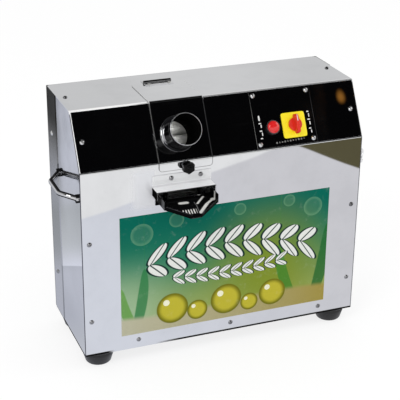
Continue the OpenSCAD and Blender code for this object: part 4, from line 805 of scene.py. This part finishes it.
# %% Switch plate with round corners
def rounded_slab(x_mm, up_mm, half, rows, sides=96, power=0.16):
    """A slab on the slope whose outline is a superellipse: each row gives an inset and a height."""
    angle = np.linspace(0, 2 * np.pi, sides, endpoint=False)
    soften = lambda wave: np.sign(wave) * np.abs(wave) ** power
    ring = np.stack([soften(np.cos(angle)), soften(np.sin(angle))], -1)
    inset, out = np.array(rows, float).T
    plan = (half - inset)[:, None, None] * ring
    return on_slope(x_mm, up_mm) + (plan[..., :1] * np.array([1, 0, 0]) + plan[..., 1:] * SLOPE
                                    + out[:, None, None] * SLOPE_OUT) / 1000


slab_rows = [[24, 2.8], [0, 2.8], [0, 4.6], [0.25, 5.2], [0.8, 5.6], [1.6, 5.8], [24, 5.8]]
boss_rows = [[0, 5.6], [15, 5.6], [14.8, 7.3], *arc((14.3, 7.3), 0.5, 0, 90, 4), [0, 7.8]]
slab = rounded_slab(SWITCH_X, SWITCH_UP, 24, slab_rows)
boss = turn(boss_rows, SWITCH_AT, SLOPE_OUT, (1, 0, 0), 64)
add_piece("switch_face", [slab, boss], "cabinet", yellow_plastic, ["switch_plate"])

# %% Scale marks on the control plate
left_marks = [(74, 60, 1.6, 5), (74, 50, 2.6, 1.1), (76, 45, 1.1, 3), (74, 36, 2.8, 1.2), (76, 30, 1.0, 3.4),
              (73.5, 22, 2.4, 1.2)]
right_marks = [(174, 62, 2.2, 1.2), (175.5, 55, 1.0, 3.6), (174, 47, 2.8, 1.2), (175.5, 40, 1.1, 3.4),
               (174, 30, 2.4, 1.2), (176, 24, 1.0, 3)]
foot_marks = [(102 + 5.6 * i, 10.2 + 0.25 * i, 1.5 - 0.7 * (i % 3 == 1), 1.7 - 0.5 * (i % 4 == 2))
              for i in range(11)]
marks = [soft_block(on_slope(x_mm, up_mm, 2.86), (wide, high, 0.07), slope_axes, 0.5, 0.0, 8, 16)
         for x_mm, up_mm, wide, high in left_marks + right_marks + foot_marks]
sides = len(left_marks + right_marks)
add_piece("control_marks", marks[:sides], "cabinet", white_print)
add_piece("foot_marks", marks[sides:], "cabinet", dim_print)

# %% Pilot lamp lens
LAMP_AT = on_slope(98, 40)
lens_profile = [[0, 5.8], [10.4, 5.8], [10.4, 8.0], [11.6, 8.0], [11.6, 8.9], [11.1, 9.2], [11.1, 9.9],
                *[[10.9 * math.cos(a), 9.9 + 3.8 * math.sin(a)] for a in np.linspace(0, math.pi / 2, 12)]]
add_piece("lamp_lens", [turn(lens_profile, LAMP_AT, SLOPE_OUT, (1, 0, 0), 64)], "cabinet", red_lens,
          ["pilot_lens"])

# %% [markdown]
# ## The side handles
#
# Each side has a bow of round bar on two bosses. The bar is a tube along a path whose two bends are true
# arcs, and each boss is turned with a rounded shoulder.

# %% Side handles
def bow(side):
    """The bar and the two bosses of one side handle; side is -1 at the left and 1 at the right."""
    wall, height = side * 0.280, 0.352
    plan = [[0, 2.0], [36, 26.4], [94, 26.4], [130, 2.0]]
    at = lambda along, out: [wall + side * out / 1000, -0.0745 + along / 1000, height]
    bar = tube(bent_path([at(*corner) for corner in plan], 0.015, 10), (0, 0, 1), 0.005, 28)
    boss = [[0, 0], [8, 0], [8, 3.6], *arc((6.4, 4.4), 1.6, 0, 90, 6), [0, 6]]
    feet = [turn(boss, at(along, 0), (side, 0, 0), (0, 1, 0), 48) for along in (0, 130)]
    return [bar, *feet]


add_piece("left_bow", bow(-1), "cabinet", bright_bar, ["left_handle"])
add_piece("right_bow", bow(1), "cabinet", bright_bar, ["right_handle"])

# %% [markdown]
# ## The rubber feet
#
# Four turned feet stand under the base. The profile is a bowl: it has a rounded sole, a shallow groove
# under the rim, a soft upper edge and a well for the bolt's head.

# %% Rubber feet
foot_profile = [[4.25, 9], [9.5, 9], [9.5, 0.5], [10, 0], [19, 0], *arc((19, 6.5), 6.5, 270, 335, 8),
                [27.6, 13], [29.4, 19], [30.2, 24.5], [29.7, 25.0], [29.7, 25.6], [30.4, 26.1],
                *arc((29.6, 28.8), 1.2, 0, 90, 6), [4.25, 30], [4.25, 9]]
feet_at = [(x, y, 0) for x in (-0.246, 0.246) for y in (-0.0515, 0.0965)]
feet = [turn(foot_profile, at, (0, 0, 1), (1, 0, 0), 56) for at in feet_at]
add_piece("rubber_foot_set", feet, "cabinet", rubber, ["rubber_feet"])

# %% [markdown]
# ## Safe edges
#
# The free edges of the spout and the hood are hemmed, so that nobody is cut when wiping them. A hem is a
# thin tube along the edge. The lip of the spout is a plate that bends down, so its hems are drawn across,
# along and out of that plate and then tilted with it. The flap and the control plate have bright cut edges,
# which are thin tubes too.

# %% Hems of the spout and the hood
LIP_DROP, LIP_RUN = 12, 26
SPOUT_HALF, LIP_HALF, LIP_LEN = 52.0, 11.0, math.hypot(LIP_DROP, LIP_RUN)
HEM_R, EDGE_R = 0.0009, 0.0005
lip_turn = np.array(Matrix.Rotation(math.atan2(LIP_DROP, LIP_RUN), 3, "X"))


def on_lip(*points_mm):
    """Points given across, along and out of the spout's lip plate, in millimetres from its fold."""
    return np.array(points_mm) @ lip_turn.T / 1000 + np.array(SPOUT_FOLD)


def spout_hem(side):
    """The hems of one side: along the head of the upright wall and down its front, then along the lip wall."""
    x, head = SPOUT_X + side * 0.0514, SPOUT_FOLD.z + 0.0149
    wall = bent_path([[x, FRONT_Y - 0.002, head + 0.0015], [x, SPOUT_FOLD.y - 0.0008, head],
                      [x, SPOUT_FOLD.y - 0.0008, head - 0.009]], 0.003, 7)
    lip = on_lip([side * (SPOUT_HALF - 2.1), -0.8, 8], [side * (LIP_HALF - 1.8), -LIP_LEN + 0.3, 8])
    return [tube(wall, (1, 0, 0), 0.0007, 12), tube(lip, lip_turn @ [0, 0, 1], HEM_R, 12)]


lip_line = on_lip([-LIP_HALF + 0.6, -LIP_LEN, -0.6], [LIP_HALF - 0.6, -LIP_LEN, -0.6])
lip_hem = tube(lip_line, lip_turn @ [0, 0, 1], HEM_R, 12)
# The hems carry hem_steel's painted dark reflection.
add_piece("spout_hems", [*spout_hem(-1), *spout_hem(1), lip_hem], "cabinet", hem_steel)
hood_edge = np.array([[SPOUT_X + x, -0.1102, 0.3564] for x in (-0.0568, 0, 0.0568)])
add_piece("hood_hem", [tube(hood_edge, (0, 0, 1), HEM_R, 12)], "cabinet", hem_steel)


# %% Cut edges of the flap, the facing and the control plate
def flap_edge(side):
    """The bright cut edge on one side of the flap: from the lip up the slope and back along the top."""
    x = MILL_X + side * FLAP_HALF
    low, fold = [x, FRONT_Y - 0.0012, BEND_Z - 0.006], [x, FRONT_Y - 0.0012, BEND_Z + 0.0006]
    head, back = [x, FRONT_Y + 0.0544, 0.5012], [x, FRONT_Y + 0.1520, 0.5012]
    return tube(bent_path([low, fold, head, back], 0.004, 8), (1, 0, 0), EDGE_R, 12)


def flap_lip_edge():
    """The cut edge round the flap's lip: down one side, along the foot with two round corners and up again."""
    plan = [[-FLAP_HALF, -0.006], [-FLAP_HALF, -0.0145], [FLAP_HALF, -0.0145], [FLAP_HALF, -0.006]]
    corners = [[MILL_X + x, FRONT_Y - 0.0012, BEND_Z + down] for x, down in plan]
    return tube(bent_path(corners, 0.006, 8), (0, 1, 0), EDGE_R, 12)


def plate_edge(x_mm):
    """The bright cut edge on one side of the control plate."""
    return tube(np.array([on_slope(x_mm, up_mm, 2.5) for up_mm in (4.2, 57, 109.8)]), (1, 0, 0), EDGE_R, 12)


def facing_edge(*ends):
    """A bright bent edge of the sheet that shows beside the black facing: a thin tube between two places."""
    path = np.linspace(on_slope(*ends[0]), on_slope(*ends[1]), 3)
    return tube(path, SLOPE_OUT, 0.0007, 12)


left_edge = facing_edge((-278.1, 2.5, 0.7), (-278.1, 112.4, 0.7))
head_edge = facing_edge((-277.6, 112.6, 0.7), (-134, 112.6, 0.7))
add_piece("facing_edges", [left_edge, head_edge], "cabinet", cut_edge)
add_piece("flap_edges", [flap_edge(-1), flap_edge(1), flap_lip_edge()], "flap", cut_edge)
add_piece("control_plate_edges", [plate_edge(62), plate_edge(185)], "cabinet", cut_edge)

# %% [markdown]
# ## Floor, light and surroundings
#
# Polished metal looks like what stands round it, so the surroundings matter as much as the finish. The
# floor and the horizon are white. Overhead and in front the room is dim, which keeps the black slope black
# and darkens the tube and the spout, whose dark streaks are also painted into their finishes. Everything
# that isn't a mirror is lit evenly.

# %% Floor
FLOOR_HALF = 8
square = [(-FLOOR_HALF, -FLOOR_HALF, 0), (FLOOR_HALF, -FLOOR_HALF, 0), (FLOOR_HALF, FLOOR_HALF, 0),
          (-FLOOR_HALF, FLOOR_HALF, 0)]
floor_mesh = bpy.data.meshes.new("floor")
floor_mesh.from_pydata(square, [], [(0, 1, 2, 3)])
floor = bpy.data.objects.new("floor", floor_mesh)
scene.collection.objects.link(floor)
floor_finish = Finish("floor", Roughness=1.0, Specular_IOR_Level=0.0)
floor_mesh.materials.append(floor_finish.material)
print("floor", 2 * FLOOR_HALF, "metres wide")

# %% [markdown]
# Mirrors see a floor with tones: a pale lavender painted shade near the machine, whose bowed edge crosses the
# front wall as a soft line, a dim patch behind the machine with a dark corner, and an olive patch far to the
# right. The eye sees white, and the object's shadow stays on it.

# %% Floor tones
NEAR_LEAN, NEAR_BOW, NEAR_EDGE, PALE_DRIFT = 0.373, 0.096, (-0.7945, -0.7785), (-0.2, 0.45)
BEHIND_Y, BEHIND_X, BANDS = (-0.05, 0.15), (-0.2, -0.3), (0.35, 0.65)
DARK_LEAN, DARK_FROM, DARK_EDGE, DARK_X = 4.15, 0.28, (0.0185, 0.0485), (-0.337, -0.547)
OLIVE_LEAN, OLIVE_AT, OLIVE_EDGE, OLIVE_Y = 0.394, 1.0033, (-0.006, 0.006), (-0.45, -0.60)
ray = floor_finish.node("ShaderNodeLightPath").socket.node.outputs
seen = Val(floor_finish, ray["Is Camera Ray"])
mirrored = Val(floor_finish, ray["Is Glossy Ray"])
east, north, _ = floor_finish.xyz()
# Painted shade on the floor near the machine, seen only in mirrors.
near = (north + NEAR_LEAN * east + NEAR_BOW * east * east).rise(*NEAR_EDGE)
pale = floor_finish.mix(east.rise(*PALE_DRIFT), tone(236, 239, 248), tone(228, 227, 231))
front_tone = floor_finish.mix(near, tone(255, 255, 255), pale)
behind = north.rise(*BEHIND_Y) * east.rise(*BEHIND_X)
bands = floor_finish.noise(2.6, 1, 0.4).rise(*BANDS)
back_tone = floor_finish.mix(bands, tone(186, 190, 195), tone(214, 217, 229))
dark = (north + DARK_LEAN * (east + DARK_FROM)).rise(*DARK_EDGE) * east.rise(*DARK_X)
front_tone = floor_finish.mix(behind, front_tone, floor_finish.mix(dark, back_tone, tone(66, 67, 60)))
olive = (east - OLIVE_LEAN * north - OLIVE_AT).rise(*OLIVE_EDGE) * north.rise(*OLIVE_Y)
front_tone = floor_finish.mix(olive, front_tone, tone(97, 92, 68))
floor_tone = floor_finish.mix(mirrored, (1, 1, 1, 1), front_tone)
floor_finish.set(Base_Color=(0.97, 0.97, 0.97, 1))
white = floor_finish.node("ShaderNodeEmission", None, {"Color": floor_tone, "Strength": 1.0 + 0.04 * seen})
blend = floor_finish.node("ShaderNodeMixShader", None, {0: seen * 0.75 + mirrored, 2: white})
floor_finish.tree.links.new(floor_finish.shader.outputs[0], blend.socket.node.inputs[1])
floor_finish.tree.links.new(blend.socket, floor_finish.tree.nodes["Material Output"].inputs["Surface"])
print("floor toned")

# %% [markdown]
# The room is bright at the horizon and dim overhead and in front. One small amber lamp shows as a glow on the
# slope. Only mirrors see all that: plain surfaces get one even level, and the eye sees white.

# %% World
FRONT_UP, FRONT_Y_WAY = (0.43, 0.50), (-0.05, -0.3)
STREAK_X, STREAK_Y = (0.26, 0.32, 0.44, 0.37), (0.2, 0.5)
GLOW_Y, GLOW_UP = (-0.3, -0.6), (0.25, 0.35)
LOW_SKY, HIGH_SKY = (0.05, 0.3), (0.62, 0.78)
LAMP_WAY, LAMP_SQUEEZE, LAMP_SIZE, LAMP_LEVEL = (0.4541, -0.7133, 0.5338), 1.7, (0.0080, 0.0010), 6
PLAIN_LEVEL = 0.82
world = bpy.data.worlds.new("studio")
scene.world = world
world.use_nodes = True
background = world.node_tree.nodes["Background"]
room = Finish.__new__(Finish)
room.tree = world.node_tree
ray = room.node("ShaderNodeLightPath").socket.node.outputs
seen, mirrored = Val(room, ray["Is Camera Ray"]), Val(room, ray["Is Glossy Ray"])
room.place = room.node("ShaderNodeTexCoord", out="Generated")
east, north, upward = room.xyz()
front_dark = upward.rise(*FRONT_UP) * north.rise(*FRONT_Y_WAY)
streak = window(east, STREAK_X) * north.rise(*STREAK_Y)
glow = north.rise(*GLOW_Y) * upward.rise(*GLOW_UP)
level = 0.95 - 0.25 * upward.rise(*LOW_SKY) - 0.68 * upward.rise(*HIGH_SKY) + 0.05 * streak + 0.5 * glow
off_x, off_y, off_up = east - LAMP_WAY[0], north - LAMP_WAY[1], upward - LAMP_WAY[2]
lamp = ((off_x * LAMP_SQUEEZE) ** 2 + off_y ** 2 + off_up ** 2).root().rise(*LAMP_SIZE)
level = level * (1 - 0.98 * front_dark) + LAMP_LEVEL * lamp
strength = seen + (1 - seen) * (mirrored * level + (1 - mirrored) * PLAIN_LEVEL)
amber = room.mix(lamp.rise(0.0, 0.02), (1, 1, 1, 1), (1.0, 0.42, 0.07, 1))
room.link(amber, background.inputs["Color"])
room.link(strength, background.inputs["Strength"])
print("room ready")


# %% Lamps
def soft_box(name, at, towards, size, watts):
    """A square area lamp at a point that faces another point."""
    lamp = bpy.data.objects.new(name, bpy.data.lights.new(name, "AREA"))
    lamp.data.energy = watts
    lamp.data.size = size
    lamp.location = at
    lamp.rotation_euler = (Vector(towards) - Vector(at)).to_track_quat("-Z", "Y").to_euler()
    scene.collection.objects.link(lamp)


soft_box("key", (-1.8, -1.6, 2.4), (0, 0, 0.25), 1.2, 22)
soft_box("fill", (2.2, -0.6, 1.6), (0, 0, 0.25), 1.4, 8)
soft_box("mill light", (-0.095, -0.026, 0.436), (-0.080, 0.040, 0.358), 0.03, 0.035)
print("studio ready")
